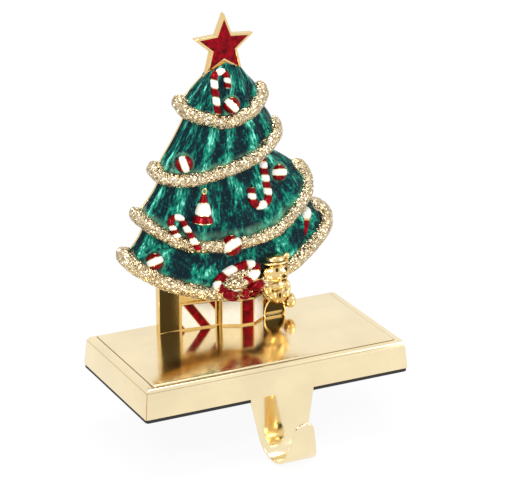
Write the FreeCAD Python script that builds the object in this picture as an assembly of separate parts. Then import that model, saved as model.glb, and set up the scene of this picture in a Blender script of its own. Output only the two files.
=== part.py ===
"""Mantel stocking holder: a cast and enamelled tree on a pressed, weighted base with a hook.

Millimetres. X runs along the mantel edge, Y back to the wall, Z up. The origin is the
centre of the pad's underside, the face that rests on the mantel shelf.
"""
import FreeCAD, Part
import math
import os

os.makedirs("parts", exist_ok=True)
V = FreeCAD.Vector
BIG = 400.0
crumb = 0.5

# Pressed base shell
base_width = 140.0
base_depth = 76.0
shell_height = 14.75
shell_draft = 1.3
sheet = 1.5
top_edge_radius = 2.0
panel_border = 6.4
panel_border_depth = 4.5
panel_raise = 0.75
seam_width = 0.3

# Pad and weight under and inside the shell
pad_thickness = 1.5
pad_inset = 1.5
weight_thickness = 9.0
weight_clearance = 0.5

# Hook, in one piece with the front of the shell
hook_offset = 1.2
hook_half_width = 16.9
hook_taper = 0.2
hook_drop = 19.75
hook_bend_radius = 10.0
hook_lip_lean = 10.6
hook_lip_length = 14.9
hook_tip_radius = 3.0

# Fixing of the figure
screw_spacing = 24.0
screw_diameter = 3.0
screw_grip = 8.0
screw_head_diameter = 6.0
screw_head_height = 2.0
screw_slot_width = 1.0
washer_diameter = 7.5
washer_thickness = 0.8
screw_hole_clearance = 0.25

# Cast figure
figure_back_y = 25.5
tube_radius = 3.0
garland_rings = 9
round_power = 2.5
enamel_depth = 0.6
tier_setback = 0.9
edge_angle = 82.0
flute_count = 7
flute_depth = 0.8

# Star
star_centre_height = 158.3
star_radius = 16.2
star_inner_ratio = 0.44
star_thickness = 3.5
star_rim = 1.3
star_tip_half_angle = 26.0
star_field_depth = 0.9
star_field_sunk = 0.3

# Each garland: centre x, half width, depth, heights at the stations, left and right ends
station_angles = (-82.0, -58.0, -30.0, 0.0, 30.0, 58.0, 82.0)
garlands = (
    dict(x=-1.2, half=21.4, depth=9.0, heights=(133.0, 128.7, 125.5, 122.6, 125.3, 130.8, 133.6),
         left=((-21.6, 136.6),), right=((18.4, 138.0),)),
    dict(x=-4.1, half=32.0, depth=11.0, heights=(101.2, 98.0, 96.5, 98.8, 103.2, 110.0, 113.6),
         left=((-34.2, 105.0),), right=((26.6, 119.4),)),
    dict(x=-0.1, half=45.7, depth=12.0, heights=(80.2, 74.8, 64.2, 60.9, 64.2, 76.5, 84.4),
         left=((-44.6, 83.4),), right=((42.0, 91.0), (36.5, 95.0))),
    dict(x=1.6, half=54.3, depth=13.0, heights=(60.2, 53.6, 42.5, 36.2, 44.2, 56.6, 63.6),
         left=((-51.4, 64.4),), right=((51.6, 69.4), (47.0, 72.6))),
)
# Each tier: top centre x, top half width, top height, how much the top drops at its
# ends, top depth, and how far the left and right edges bulge
tiers = (
    dict(x=0.0, half=7.5, top=156.0, drop=9.0, depth=4.5, left=0.5, right=1.0),
    dict(x=-0.8, half=16.5, top=129.0, drop=-3.0, depth=5.5, left=-1.0, right=2.2),
    dict(x=-3.5, half=28.0, top=104.0, drop=0.0, depth=7.0, left=-2.5, right=3.5),
    dict(x=-0.5, half=41.5, top=68.0, drop=-9.0, depth=8.5, left=-2.0, right=3.0),
)

# Round ornaments: tier, place (x, z), radius, how far the centre stands in front of the
# tier, and the tilt of the white band's normal in degrees
balls = (
    dict(tier=1, place=(1.1, 130.4), radius=4.0, proud=0.6, tilt=40.0),
    dict(tier=2, place=(-23.9, 104.3), radius=4.2, proud=0.6, tilt=10.0),
    dict(tier=3, place=(27.5, 92.0), radius=4.0, proud=0.6, tilt=92.0),
    dict(tier=3, place=(-1.5, 60.9), radius=5.2, proud=2.4, tilt=120.0),
    dict(tier=4, place=(-39.9, 57.2), radius=4.2, proud=0.6, tilt=112.0),
)
ball_band = 0.42

# Candy canes: tier, foot and knee of the long leg (x, z) and how far each stands in
# front of the tier, side of the crook, its radius, the short arm's length, the tube's
# radius, and how many stripes the leg, the crook and the arm have
canes = (
    dict(tier=1, foot=(-6.4, 127.2), knee=(-7.0, 143.4), proud=(0.6, 0.6), side=1, crook=3.4,
         arm=5.0, radius=1.9, stripes=(4, 3, 2)),
    dict(tier=3, foot=(18.0, 102.6), knee=(20.2, 82.6), proud=(0.6, 0.6), side=-1, crook=4.3,
         arm=6.0, radius=2.2, stripes=(6, 3, 2)),
    dict(tier=3, foot=(-20.2, 62.4), knee=(-26.0, 76.6), proud=(5.2, 0.8), side=-1, crook=3.1,
         arm=6.4, radius=1.75, stripes=(5, 2, 3)),
)

# Bell and drop ornament: tier, place of the top (x, z) and the heights and radii below it
bell = dict(tier=3, place=(-14.3, 88.6), steps=((0.0, 1.0), (4.6, 2.3), (10.4, 3.9), (14.4, 5.4)),
            clapper=1.2)
drop = dict(tier=4, place=(43.4, 70.8), egg=3.3, cone_top=2.3, cone_tip=0.7, cone_length=8.5)

# Things under the tree
panel_left = -36.3
panel_right = -25.2
panel_front = 22.2
foot_top = 50.0
trunk_right = 36.0
trunk_depth = 5.0
gift_height = 14.0
striped_gift = ((-25.2, 21.2), (-6.4, 19.0))
groove_front = 20.0
ribbon_gift = ((-4.2, 17.9), (4.6, 13.7), (11.2, 13.2), (18.8, 18.6))
gift_rim = 0.9
stripe_start = 0.55
stripe_red = 0.27
stripe_white = 0.43
stripe_lean = -0.46
ribbon_share = 0.06
wreath_centre = (0.9, 11.0, 44.4)
wreath_across = (10.3, 0.0, 3.2)
wreath_along = (-0.6, 3.0, 3.1)
wreath_bead = 2.5
wreath_beads = 10
wreath_first = 174.0
wreath_core_thickness = 1.6
bow_loops = (((-3.3, 8.5, 37.3), (4.2, 2.6, 3.0)), ((10.0, 8.5, 39.7), (4.4, 2.6, 3.0)))
bow_knot = ((3.3, 7.5, 37.6), (2.4, 2.2, 2.4))
bow_tails = (((-2.8, 9.5, 33.8), (2.2, 2.0, 2.8)), ((5.4, 9.0, 33.4), (1.8, 1.8, 2.8)),
             ((12.2, 9.5, 35.8), (2.2, 2.0, 2.6)))

# Bear: centre and half sizes of each swelling
bear_swells = (
    ((23.0, 13.0, 43.3), (6.3, 5.4, 5.2)),
    ((24.3, 9.0, 42.6), (2.8, 2.4, 2.3)),
    ((25.6, 17.0, 32.1), (6.2, 5.8, 8.0)),
    ((20.3, 15.0, 32.0), (2.3, 3.0, 4.0)),
    ((31.2, 15.0, 33.0), (2.3, 3.0, 4.0)),
    ((22.2, 12.4, 48.8), (7.2, 4.4, 1.5)),
    ((28.5, 13.0, 50.2), (1.9, 1.9, 1.9)),
    ((34.0, 18.5, 24.2), (2.7, 3.6, 3.2)),
)
bear_foot = dict(place=(26.0, 18.9), radius=5.7, front=20.8, rim=0.9, sunk=1.0)

base_top = pad_thickness + shell_height
seat_height = base_top + panel_raise
inner_roof = base_top - sheet


def save(name, shape):
    """Write one node as a STEP file."""
    shape.exportStep("parts/" + name + ".step")
    solids = len(shape.Solids)
    print(name, "solids", solids, "volume", round(shape.Volume, 1), "valid", shape.isValid(),
          flush=True)


def rectangle(width, depth, height):
    """Closed rectangle, centred on the Z axis."""
    x = width / 2
    y = depth / 2
    corners = [V(-x, -y, height), V(x, -y, height), V(x, y, height), V(-x, y, height)]
    return Part.makePolygon(corners + corners[:1])


def frustum(width, depth, low, high, draft):
    """Block whose four sides lean inwards by the draft."""
    top = rectangle(width - 2 * draft, depth - 2 * draft, high)
    return Part.makeLoft([rectangle(width, depth, low), top], True, True)


def edges_at(shape, height):
    """The straight edges that lie at one height."""
    found = []
    for edge in shape.Edges:
        box = edge.BoundBox
        if abs(box.ZMin - height) < 0.01 and abs(box.ZMax - height) < 0.01:
            found.append(edge)
    return found


def raised_panel(shrink, low, high):
    """The panel embossed in the shell's roof, smaller all round by shrink."""
    width = base_width - 2 * (panel_border + shrink)
    depth = base_depth - 2 * (panel_border_depth + shrink)
    return frustum(width, depth, low, high, high - low)


def hook_profile():
    """Side view of the hook's strap as a closed face in the YZ plane."""
    lean = math.atan(shell_draft / shell_height)
    turn_end = math.pi - math.radians(hook_lip_lean)
    start = (-base_depth / 2 + sheet / 2, pad_thickness)
    knee = (start[0] - math.sin(lean) * hook_drop, start[1] - math.cos(lean) * hook_drop)
    centre = (knee[0] - math.cos(lean) * hook_bend_radius,
              knee[1] + math.sin(lean) * hook_bend_radius)

    def on_bend(heading, offset):
        radius = hook_bend_radius + offset
        return V(0, centre[0] + radius * math.cos(heading), centre[1] - radius * math.sin(heading))

    def along(point, heading, length):
        return point + V(0, -math.sin(heading), -math.cos(heading)) * length

    half = sheet / 2
    half_turn = (lean + turn_end) / 2
    outer_knee = on_bend(lean, half)
    outer_end = on_bend(turn_end, half)
    inner_end = on_bend(turn_end, -half)
    inner_knee = on_bend(lean, -half)
    root = hook_drop + sheet
    outer_top = along(outer_knee, lean, -root)
    outer_tip = along(outer_end, turn_end, hook_lip_length)
    inner_tip = along(inner_end, turn_end, hook_lip_length)
    inner_top = along(inner_knee, lean, -root)
    edges = [
        Part.makeLine(outer_top, outer_knee),
        Part.Arc(outer_knee, on_bend(half_turn, half), outer_end).toShape(),
        Part.makeLine(outer_end, outer_tip),
        Part.makeLine(outer_tip, inner_tip),
        Part.makeLine(inner_tip, inner_end),
        Part.Arc(inner_end, on_bend(half_turn, -half), inner_knee).toShape(),
        Part.makeLine(inner_knee, inner_top),
        Part.makeLine(inner_top, outer_top),
    ]
    return Part.Face(Part.Wire(edges)), centre, inner_tip.z


def hook_blank(centre, tip_height):
    """Front-to-back prisms that give the strap and its lip their tapering width."""
    bend_length = hook_bend_radius * math.pi
    low_half = hook_half_width - hook_taper * (hook_drop + bend_length / 2)
    low = centre[1] - hook_bend_radius - sheet
    tip_half = hook_half_width - hook_taper * (hook_drop + bend_length + hook_lip_length)
    root = pad_thickness + sheet
    strap = [V(-hook_half_width, 0, root), V(hook_half_width, 0, root),
             V(low_half, 0, low), V(-low_half, 0, low)]
    lip = [V(-low_half, 0, low), V(low_half, 0, low), V(tip_half, 0, tip_height + sheet),
           V(-tip_half, 0, tip_height + sheet)]
    back_part = Part.Face(Part.makePolygon(strap + strap[:1]))
    back_part.translate(V(hook_offset, centre[0], 0))
    back_part = back_part.extrude(V(0, BIG, 0))
    front_part = Part.Face(Part.makePolygon(lip + lip[:1]))
    front_part.translate(V(hook_offset, centre[0], 0))
    front_part = front_part.extrude(V(0, -BIG, 0))
    return back_part, front_part


def hook():
    """The J-shaped tongue that hangs from the shell's front skirt."""
    face, centre, tip_height = hook_profile()
    strip = face.extrude(V(2 * BIG, 0, 0))
    strip.translate(V(-BIG, 0, 0))
    back_part, front_part = hook_blank(centre, tip_height)
    strap = strip.common(back_part)
    lip = strip.common(front_part)
    body = strap.fuse(lip)
    tip_edges = []
    for edge in body.Edges:
        box = edge.BoundBox
        short = box.XLength < sheet / 2 and edge.Length < sheet * 1.2
        if short and box.ZMax > tip_height - sheet and box.YMax < centre[0]:
            tip_edges.append(edge)
    return body.makeFillet(hook_tip_radius, tip_edges)


def base_shell():
    """Pressed sheet box, open below, with the hook in one piece with its front."""
    outer = frustum(base_width, base_depth, pad_thickness, base_top, shell_draft)
    outer = outer.makeFillet(top_edge_radius, edges_at(outer, base_top))
    outer = outer.fuse(raised_panel(0, base_top, seat_height))
    inner = frustum(base_width - 2 * sheet, base_depth - 2 * sheet, pad_thickness, inner_roof,
                    shell_draft)
    inner = inner.fuse(raised_panel(sheet, inner_roof, seat_height - sheet))
    shell = outer.cut(inner)
    for sign_x in (-1, 1):
        for sign_y in (-1, 1):
            slit = Part.makeBox(4 * sheet, seam_width, shell_height - top_edge_radius - sheet,
                                V(-2 * sheet, -seam_width / 2, 0))
            slit.rotate(V(0, 0, 0), V(0, 0, 1), 45.0 * sign_x * sign_y)
            slit.translate(V(sign_x * base_width / 2, sign_y * base_depth / 2, pad_thickness))
            shell = shell.cut(slit)
    for x in screw_places():
        hole = Part.makeCylinder(screw_diameter / 2 + screw_hole_clearance, 4 * sheet,
                                 V(x, screw_y(), inner_roof - sheet))
        shell = shell.cut(hole)
    return shell.fuse(hook()).removeSplitter()


def screw_places():
    """Where the figure's screws pass the roof, along X."""
    return (-screw_spacing / 2, screw_spacing / 2)


def screw_y():
    """The screws stand their own diameter in front of the figure's back."""
    return figure_back_y - screw_diameter


def base_pad():
    """Non-slip sheet under the shell's rim and the weight."""
    width = base_width - 2 * pad_inset
    depth = base_depth - 2 * pad_inset
    pad = Part.makeBox(width, depth, pad_thickness, V(-width / 2, -depth / 2, 0))
    corners = [edge for edge in pad.Edges if edge.BoundBox.ZLength > pad_thickness / 2]
    return pad.makeFillet(pad_inset, corners)


def ballast():
    """Iron plate inside the shell, standing on the pad."""
    lean = shell_draft * weight_thickness / shell_height
    gap = sheet + weight_clearance + lean
    width = base_width - 2 * gap
    depth = base_depth - 2 * gap
    plate = Part.makeBox(width, depth, weight_thickness, V(-width / 2, -depth / 2, pad_thickness))
    corners = [edge for edge in plate.Edges if edge.BoundBox.ZLength > weight_thickness / 2]
    return plate.makeFillet(2 * sheet, corners)


def washers():
    """Washers between the screw heads and the shell's roof."""
    roof = seat_height - sheet
    made = []
    for x in screw_places():
        ring = Part.makeCylinder(washer_diameter / 2, washer_thickness,
                                 V(x, screw_y(), roof - washer_thickness))
        bore = Part.makeCylinder(screw_diameter / 2 + screw_hole_clearance, 3 * washer_thickness,
                                 V(x, screw_y(), roof - 2 * washer_thickness))
        made.append(ring.cut(bore))
    return made


def screws():
    """Pan-head screws from below into the figure's foot."""
    head_top = seat_height - sheet - washer_thickness
    length = sheet + washer_thickness + screw_grip
    made = []
    for x in screw_places():
        shank = Part.makeCylinder(screw_diameter / 2, length, V(x, screw_y(), head_top))
        head = Part.makeCylinder(screw_head_diameter / 2, screw_head_height,
                                 V(x, screw_y(), head_top - screw_head_height))
        slot = Part.makeBox(screw_head_diameter, screw_slot_width, screw_head_height / 2,
                            V(x - screw_head_diameter / 2, screw_y() - screw_slot_width / 2,
                              head_top - screw_head_height))
        made.append(shank.fuse(head).cut(slot))
    return made


def oval(x, half, depth, angle, lift=0.0):
    """Point of a flattened half oval that bulges forward from the figure's back."""
    s = math.sin(math.radians(angle))
    c = math.cos(math.radians(angle))
    reach = (abs(s) ** round_power + abs(c) ** round_power) ** (-1 / round_power)
    return x + half * reach * s, figure_back_y - 0.5 + lift - depth * reach * c


def garland_stations(garland, setback=0.0):
    """The garland's centre line at its stations."""
    points = []
    for angle, height in zip(station_angles, garland["heights"]):
        x, y = oval(garland["x"], garland["half"], garland["depth"], angle, setback)
        points.append(V(x, y, height))
    return points


def smooth(points):
    """Curve through the points."""
    curve = Part.BSplineCurve()
    curve.interpolate(points)
    return curve


def at(curve, share):
    """Point at a share of the curve's range."""
    first = curve.FirstParameter
    last = curve.LastParameter
    return curve.value(first + (last - first) * share)


def ring(centre, direction, aside, radius):
    """Round closed curve about a centre, with its first point on one chosen side."""
    across = direction.cross(aside)
    points = []
    for step in range(8):
        turn = math.radians(45 * step)
        points.append(centre + (aside * math.cos(turn) + across * math.sin(turn)) * radius)
    curve = Part.BSplineCurve()
    curve.interpolate(Points=points, PeriodicFlag=True)
    return Part.Wire(curve.toShape())


def garland_tube(garland):
    """Fat rope of one garland, swelling and thinning a little along its way."""
    edge_y = figure_back_y - 0.5 * tube_radius
    left = [V(x, edge_y, z) for x, z in garland["left"]]
    right = [V(x, edge_y, z) for x, z in garland["right"]]
    curve = smooth(left + garland_stations(garland) + right)
    first = curve.FirstParameter
    span = curve.LastParameter - first
    rings = []
    aside = V(0, 1, 0)
    for index in range(garland_rings + 1):
        share = index / garland_rings
        place = first + span * share
        direction = curve.tangent(place)[0]
        aside = (aside - direction * aside.dot(direction)).normalize()
        radius = tube_radius * (1.12 - 0.2 * share + 0.07 * math.sin(2.4 * index))
        if index in (0, garland_rings):
            radius = 0.55 * tube_radius
        rings.append(ring(curve.value(place), direction, aside, radius))
    return Part.makeLoft(rings, True, False)


def tier_surface(tier, garland):
    """Fluted front of one tier, from behind the garland above down into its own."""
    hem = smooth(garland_stations(garland, tier_setback))
    rows = 5
    columns = 36
    grid = []
    for row in range(rows):
        down = row / (rows - 1)
        line = []
        for column in range(columns + 1):
            across = column / columns
            angle = edge_angle * (2 * across - 1)
            x, y = oval(tier["x"], tier["half"], tier["depth"], angle)
            side = math.sin(math.radians(angle))
            height = tier["top"] - tier["drop"] * side * side
            low = at(hem, across)
            bulge = tier["right"] * side if side > 0 else tier["left"] * side
            bulge = bulge * abs(side) * math.sin(math.pi * down)
            fold = flute_depth * down * math.sin(2 * math.pi * flute_count * across)
            fold = fold * math.cos(math.radians(angle))
            point = V(x, y, height) * (1 - down) + low * down
            line.append(point + V(bulge, fold, 0))
        grid.append(line)
    surface = Part.BSplineSurface()
    surface.interpolate(grid)
    return surface


def tier_body(surface):
    """Metal behind one tier's front, back past the figure's flat back."""
    return surface.toShape().extrude(V(0, BIG, 0))


def star_corners(radius, y):
    """Corners of a five-pointed outline that faces forward, from its top round to the left."""
    corners = []
    for index in range(10):
        angle = math.radians(90 + 36 * index)
        reach = radius if index % 2 == 0 else radius * star_inner_ratio
        corners.append(V(reach * math.cos(angle), y, star_centre_height + reach * math.sin(angle)))
    return corners


def star_outline(radius, y):
    """Closed five-pointed outline."""
    corners = star_corners(radius, y)
    return Part.makePolygon(corners + corners[:1])


def star_plate():
    """Gold star with a sunk field."""
    front = figure_back_y - star_thickness
    plate = Part.Face(star_outline(star_radius, front)).extrude(V(0, star_thickness, 0))
    return plate.cut(star_field(front, star_field_depth))


def star_field(y, depth):
    """The star's sunk field, from y back by depth."""
    inner = star_radius - star_rim / math.sin(math.radians(star_tip_half_angle))
    return Part.Face(star_outline(inner, y)).extrude(V(0, depth, 0))


def star_clearing():
    """The room from the star's two lower points and the notch between them up, free of tiers."""
    left_point, notch, right_point = star_corners(star_radius, -BIG)[4:7]
    outline = [left_point, notch, right_point, right_point + V(BIG, 0, 0),
               right_point + V(BIG, 0, BIG), left_point + V(-BIG, 0, BIG), left_point + V(-BIG, 0, 0)]
    return Part.Face(Part.makePolygon(outline + outline[:1])).extrude(V(0, 2 * BIG, 0))


def star_enamel():
    """Enamel poured in the star's field, a little below its rim."""
    front = figure_back_y - star_thickness
    return star_field(front + star_field_sunk, star_field_depth - star_field_sunk)


def seat(surface, place):
    """Point of a tier's front at a place (x, z)."""
    x, z = place
    line = Part.makeLine(V(x, -BIG, z), V(x, figure_back_y, z))
    near = line.distToShape(surface.toShape())[1][0][1]
    return V(x, near.y, z)


def ellipsoid(centre, sizes):
    """Ball stretched along the three axes."""
    matrix = FreeCAD.Matrix()
    matrix.scale(V(*sizes))
    matrix.move(V(*centre))
    return Part.makeSphere(1.0).transformGeometry(matrix)


def disc(centre, radius, direction):
    """Round face."""
    return Part.Face(Part.Wire(Part.makeCircle(radius, centre, direction)))


def cane(item, surface, radius, stripes):
    """Candy cane as separate lengths of its round tube: leg, crook and arm."""
    foot = seat(surface, item["foot"]) - V(0, item["proud"][0], 0)
    knee = seat(surface, item["knee"]) - V(0, item["proud"][1], 0)
    upward = (knee - foot).normalize()
    aside = V(1, 0, 0) - upward * upward.x
    aside = aside.normalize() * item["side"]
    centre = knee + aside * item["crook"]
    axis = aside.cross(upward)
    leg_count, crook_count, arm_count = stripes
    lengths = []
    leg = (knee - foot).Length / leg_count
    for index in range(leg_count):
        lengths.append(Part.makeCylinder(radius, leg, foot + upward * leg * index, upward))
    turn = 180.0 / crook_count
    for index in range(crook_count):
        bend = disc(knee, radius, upward).revolve(centre, axis * -1, turn)
        bend.rotate(centre, axis * -1, turn * index)
        lengths.append(bend)
    arm = item["arm"] / arm_count
    start = centre + aside * item["crook"]
    for index in range(arm_count):
        lengths.append(Part.makeCylinder(radius, arm, start - upward * arm * index, upward * -1))
    return lengths


def ball(item, surface):
    """Outer ball, gold core and the three enamel fields of a round ornament."""
    centre = seat(surface, item["place"]) - V(0, item["proud"], 0)
    outer = Part.makeSphere(item["radius"], centre)
    core = Part.makeSphere(item["radius"] - enamel_depth, centre)
    skin = outer.cut(core)
    band = item["radius"] * ball_band
    slab = Part.makeBox(BIG, BIG, 2 * band, V(-BIG / 2, -BIG / 2, -band))
    slab.rotate(V(0, 0, 0), V(0, 1, 0), 90.0 - item["tilt"])
    slab.translate(centre)
    return outer, core, skin.cut(slab).Solids, skin.common(slab).Solids


def wreath_middle(grow, thickness):
    """Flattened ball over the ring's oval, larger than the oval by grow."""
    centre = V(*wreath_centre)
    across = V(*wreath_across)
    along = V(*wreath_along)
    front = across.cross(along).normalize() * thickness
    across = across * (1 + grow / across.Length)
    along = along * (1 + grow / along.Length)
    matrix = FreeCAD.Matrix(across.x, along.x, front.x, centre.x, across.y, along.y, front.y, centre.y,
                            across.z, along.z, front.z, centre.z, 0, 0, 0, 1)
    return Part.makeSphere(1.0).transformGeometry(matrix)


def wreath_row():
    """Beads of the ring above the gifts, from its left end over the top."""
    centre = V(*wreath_centre)
    across = V(*wreath_across)
    along = V(*wreath_along)
    beads = []
    for index in range(wreath_beads):
        turn = math.radians(wreath_first - 360.0 / wreath_beads * index)
        place = centre + across * math.cos(turn) + along * math.sin(turn)
        beads.append(Part.makeSphere(wreath_bead, place))
    return beads


def bell_pieces(surface):
    """Stacked cones of the bell: red, white and red, and the gold clapper."""
    steps = bell["steps"]
    top = seat(surface, bell["place"])
    low = seat(surface, (bell["place"][0], bell["place"][1] - steps[-1][0]))
    down = (low - top).normalize()
    cones = []
    for (start, wide), (end, wider) in zip(steps, steps[1:]):
        cones.append(Part.makeCone(wide, wider, end - start, top + down * start, down))
    clapper = Part.makeSphere(bell["clapper"], low + down * bell["clapper"] * 0.5)
    return cones, clapper


def drop_pieces(surface):
    """White egg over a red cone."""
    top = seat(surface, drop["place"])
    low = seat(surface, (drop["place"][0] - 2.0, drop["place"][1] - 2 * drop["egg"] - 6.0))
    down = (low - top).normalize()
    egg = Part.makeSphere(drop["egg"], top + down * drop["egg"])
    cone_start = top + down * 1.85 * drop["egg"]
    cone = Part.makeCone(drop["cone_top"], drop["cone_tip"], drop["cone_length"], cone_start, down)
    return egg, cone.cut(egg)


def prism(footprint, low, high):
    """Upright block from a front line back to the figure's back."""
    points = [V(x, y, low) for x, y in footprint]
    points.append(V(footprint[-1][0], figure_back_y, low))
    points.append(V(footprint[0][0], figure_back_y, low))
    return Part.Face(Part.makePolygon(points + points[:1])).extrude(V(0, 0, high - low))


def front_tile(start, end, left, right, low, high, lean=0.0):
    """Thin field on a gift's front, between shares of its width and heights above the seat.

    The lean moves the tile's top sideways, which makes a slanting stripe.
    """
    a = V(start[0], start[1], seat_height)
    along = V(end[0] - start[0], end[1] - start[1], 0)
    outward = V(along.y, -along.x, 0).normalize() * enamel_depth
    corners = [a + along * left + V(0, 0, low), a + along * right + V(0, 0, low),
               a + along * (right + lean) + V(0, 0, high), a + along * (left + lean) + V(0, 0, high)]
    return Part.Face(Part.makePolygon(corners + corners[:1])).extrude(outward)


def striped_fields():
    """Slanting red and white fields on the first gift."""
    start, end = striped_gift
    margin = gift_rim / V(end[0] - start[0], end[1] - start[1], 0).Length
    low = gift_rim
    high = gift_height - gift_rim
    frame = front_tile(start, end, margin, 1 - margin, low, high)
    red = []
    white = []
    for index in range(-1, 2):
        left = stripe_start + (stripe_red + stripe_white) * index
        middle = left + stripe_red
        right = middle + stripe_white
        red += front_tile(start, end, left, middle, low, high, stripe_lean).common(frame).Solids
        white += front_tile(start, end, middle, right, low, high, stripe_lean).common(frame).Solids
    return red, white


def ribbon_fields():
    """White faces and the red ribbon on the second gift."""
    left, corner_left, corner_right, right = ribbon_gift
    low = gift_rim
    high = gift_height - gift_rim
    near = ribbon_share
    white = [front_tile(left, corner_left, near, 1 - near, low, high),
             front_tile(corner_right, right, near, 1 - near, low, high)]
    red = [front_tile(corner_left, corner_right, near, 1 - near, low, high)]
    return red, white


def bear():
    """Seated bear with a hat, as one group of swellings."""
    parts = [ellipsoid(*swell) for swell in bear_swells]
    x, z = bear_foot["place"]
    depth = figure_back_y - bear_foot["front"]
    foot = Part.makeCylinder(bear_foot["radius"], depth, V(x, bear_foot["front"], z), V(0, 1, 0))
    sole = Part.makeCylinder(bear_foot["radius"] - bear_foot["rim"], bear_foot["sunk"],
                             V(x, bear_foot["front"], z), V(0, 1, 0))
    return parts + [foot.cut(sole)]


def foot_blocks():
    """Panel, gifts and the groove between them, which carry the tree on its base."""
    low = seat_height
    panel = prism(((panel_left, panel_front), (panel_right, panel_front)), low, foot_top)
    first = prism(striped_gift, low, low + gift_height + 3 * tube_radius)
    groove = prism(((striped_gift[1][0], groove_front), (ribbon_gift[0][0], groove_front)), low,
                   low + gift_height + 2 * tube_radius)
    second = prism(ribbon_gift, low, low + gift_height)
    trunk_front = figure_back_y - trunk_depth
    trunk = prism(((ribbon_gift[0][0], trunk_front), (trunk_right, trunk_front)), low, foot_top)
    return [panel, first, groove, second, trunk]


def cut_away(shape, tools):
    """What is left of a solid outside the tools that it meets."""
    for tool in tools:
        if shape.Solids and tool.BoundBox.intersect(shape.BoundBox):
            shape = shape.cut(tool)
    return shape


def pieces_left(shapes, tools):
    """The solids that are left of several shapes, without crumbs."""
    left = []
    for shape in shapes:
        for solid in cut_away(shape, tools).Solids:
            if solid.Volume > crumb:
                left.append(solid)
    return left


def cast(groups):
    """Everything gold as one casting, with a flat back and a flat foot."""
    casting = groups[0][0].fuse(groups[0][1:])
    for group in groups[1:]:
        casting = casting.fuse(group)
    keep = Part.makeBox(BIG, BIG, BIG, V(-BIG / 2, figure_back_y - BIG, seat_height))
    return casting.common(keep).cut(screws())


def build_figure():
    """The casting and its enamel, by node name."""
    surfaces = [tier_surface(tier, garland) for tier, garland in zip(tiers, garlands)]
    bodies = [tier_body(surface) for surface in surfaces]
    clearing = star_clearing()
    bodies[0] = bodies[0].cut(clearing)
    tubes = [garland_tube(garland) for garland in garlands]
    red = {}
    white = {}
    cores = []
    outers = []
    red["ball_enamel_red"] = []
    white["ball_enamel_white"] = []
    for item in balls:
        outer, core, red_parts, white_parts = ball(item, surfaces[item["tier"] - 1])
        outers.append(outer)
        cores.append(core)
        red["ball_enamel_red"] += red_parts
        white["ball_enamel_white"] += white_parts
    red["cane_enamel_red"] = []
    white["cane_enamel_white"] = []
    for item in canes:
        surface = surfaces[item["tier"] - 1]
        lengths = cane(item, surface, item["radius"], item["stripes"])
        core = cane(item, surface, item["radius"] - enamel_depth, (1, 1, 1))
        outers += cane(item, surface, item["radius"], (1, 1, 1))
        cores += core
        red["cane_enamel_red"] += [cut_away(part, core) for part in lengths[0::2]]
        white["cane_enamel_white"] += [cut_away(part, core) for part in lengths[1::2]]
    cones, clapper = bell_pieces(surfaces[bell["tier"] - 1])
    egg, cone = drop_pieces(surfaces[drop["tier"] - 1])
    outers += cones + [egg, cone, clapper]
    cores.append(clapper)
    red["bell_enamel_red"] = [cones[0], cones[2]]
    white["bell_enamel_white"] = [cones[1]]
    red["drop_enamel_red"] = [cone]
    white["drop_enamel_white"] = [egg]
    bow = []
    for swell in (bow_knot,) + bow_loops + bow_tails:
        bow.append(cut_away(ellipsoid(*swell), bow))
    beads = wreath_row()
    ring_core = wreath_middle(0, wreath_core_thickness)
    red["bow_enamel"] = bow
    red["wreath_enamel_red"] = [cut_away(bead, bow) for bead in beads[1::2]]
    white["wreath_enamel_white"] = [cut_away(bead, beads[1::2] + bow) for bead in beads[0::2]]
    red["gift_enamel_red"], white["gift_enamel_white"] = striped_fields()
    ribbon, faces = ribbon_fields()
    red["gift_enamel_red"] += ribbon
    white["gift_enamel_white"] += faces
    outers += [wreath_middle(wreath_bead, wreath_bead)] + bow
    blocks = foot_blocks()
    seated = bear()
    groups = [bodies, tubes, blocks + [star_plate()], cores, [ring_core], seated]
    gold = [item for group in groups for item in group]
    nodes = {"tree_casting": cast(groups)}
    for group in (red, white):
        for name, shapes in group.items():
            nodes[name] = Part.makeCompound(pieces_left(shapes, gold))
    nodes["star_enamel"] = star_enamel()
    for index, surface in enumerate(surfaces):
        skin = surface.toShape().extrude(V(0, -enamel_depth, 0))
        others = [body for body in bodies if body is not bodies[index]]
        left = pieces_left([skin], [clearing] + others + tubes + blocks + seated + outers)
        nodes["tier_enamel_%d" % (index + 1)] = Part.makeCompound(left)
    return nodes


save("base_shell", base_shell())
save("base_pad", base_pad())
save("ballast", ballast())
save("figure_washers", Part.makeCompound(washers()))
save("figure_screws", Part.makeCompound(screws()))
for name, shape in build_figure().items():
    save(name, shape)
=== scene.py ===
"""Looks of a mantel stocking holder: an enamelled fir tree on a golden base with a hook."""
import math

import bmesh
import bpy
from mathutils import Matrix, Vector, noise
from mathutils.bvhtree import BVHTree


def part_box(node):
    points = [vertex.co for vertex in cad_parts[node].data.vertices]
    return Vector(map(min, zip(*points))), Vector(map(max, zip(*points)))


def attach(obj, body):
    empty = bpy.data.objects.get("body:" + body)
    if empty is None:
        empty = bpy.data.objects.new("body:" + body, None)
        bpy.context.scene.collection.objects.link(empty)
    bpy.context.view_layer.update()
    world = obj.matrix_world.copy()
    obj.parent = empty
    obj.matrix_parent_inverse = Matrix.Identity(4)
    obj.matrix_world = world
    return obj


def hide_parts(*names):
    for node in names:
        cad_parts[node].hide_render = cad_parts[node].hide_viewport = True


bl_info = {
    "name": "Mantel stocking holder",
    "version": (1, 0, 0),
    "blender": (4, 5, 0),
    "location": "3D View > Sidebar > Holder",
    "description": "Builds the enamelled tree, its golden base and its hook around the frame",
    "category": "Object",
}

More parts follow.
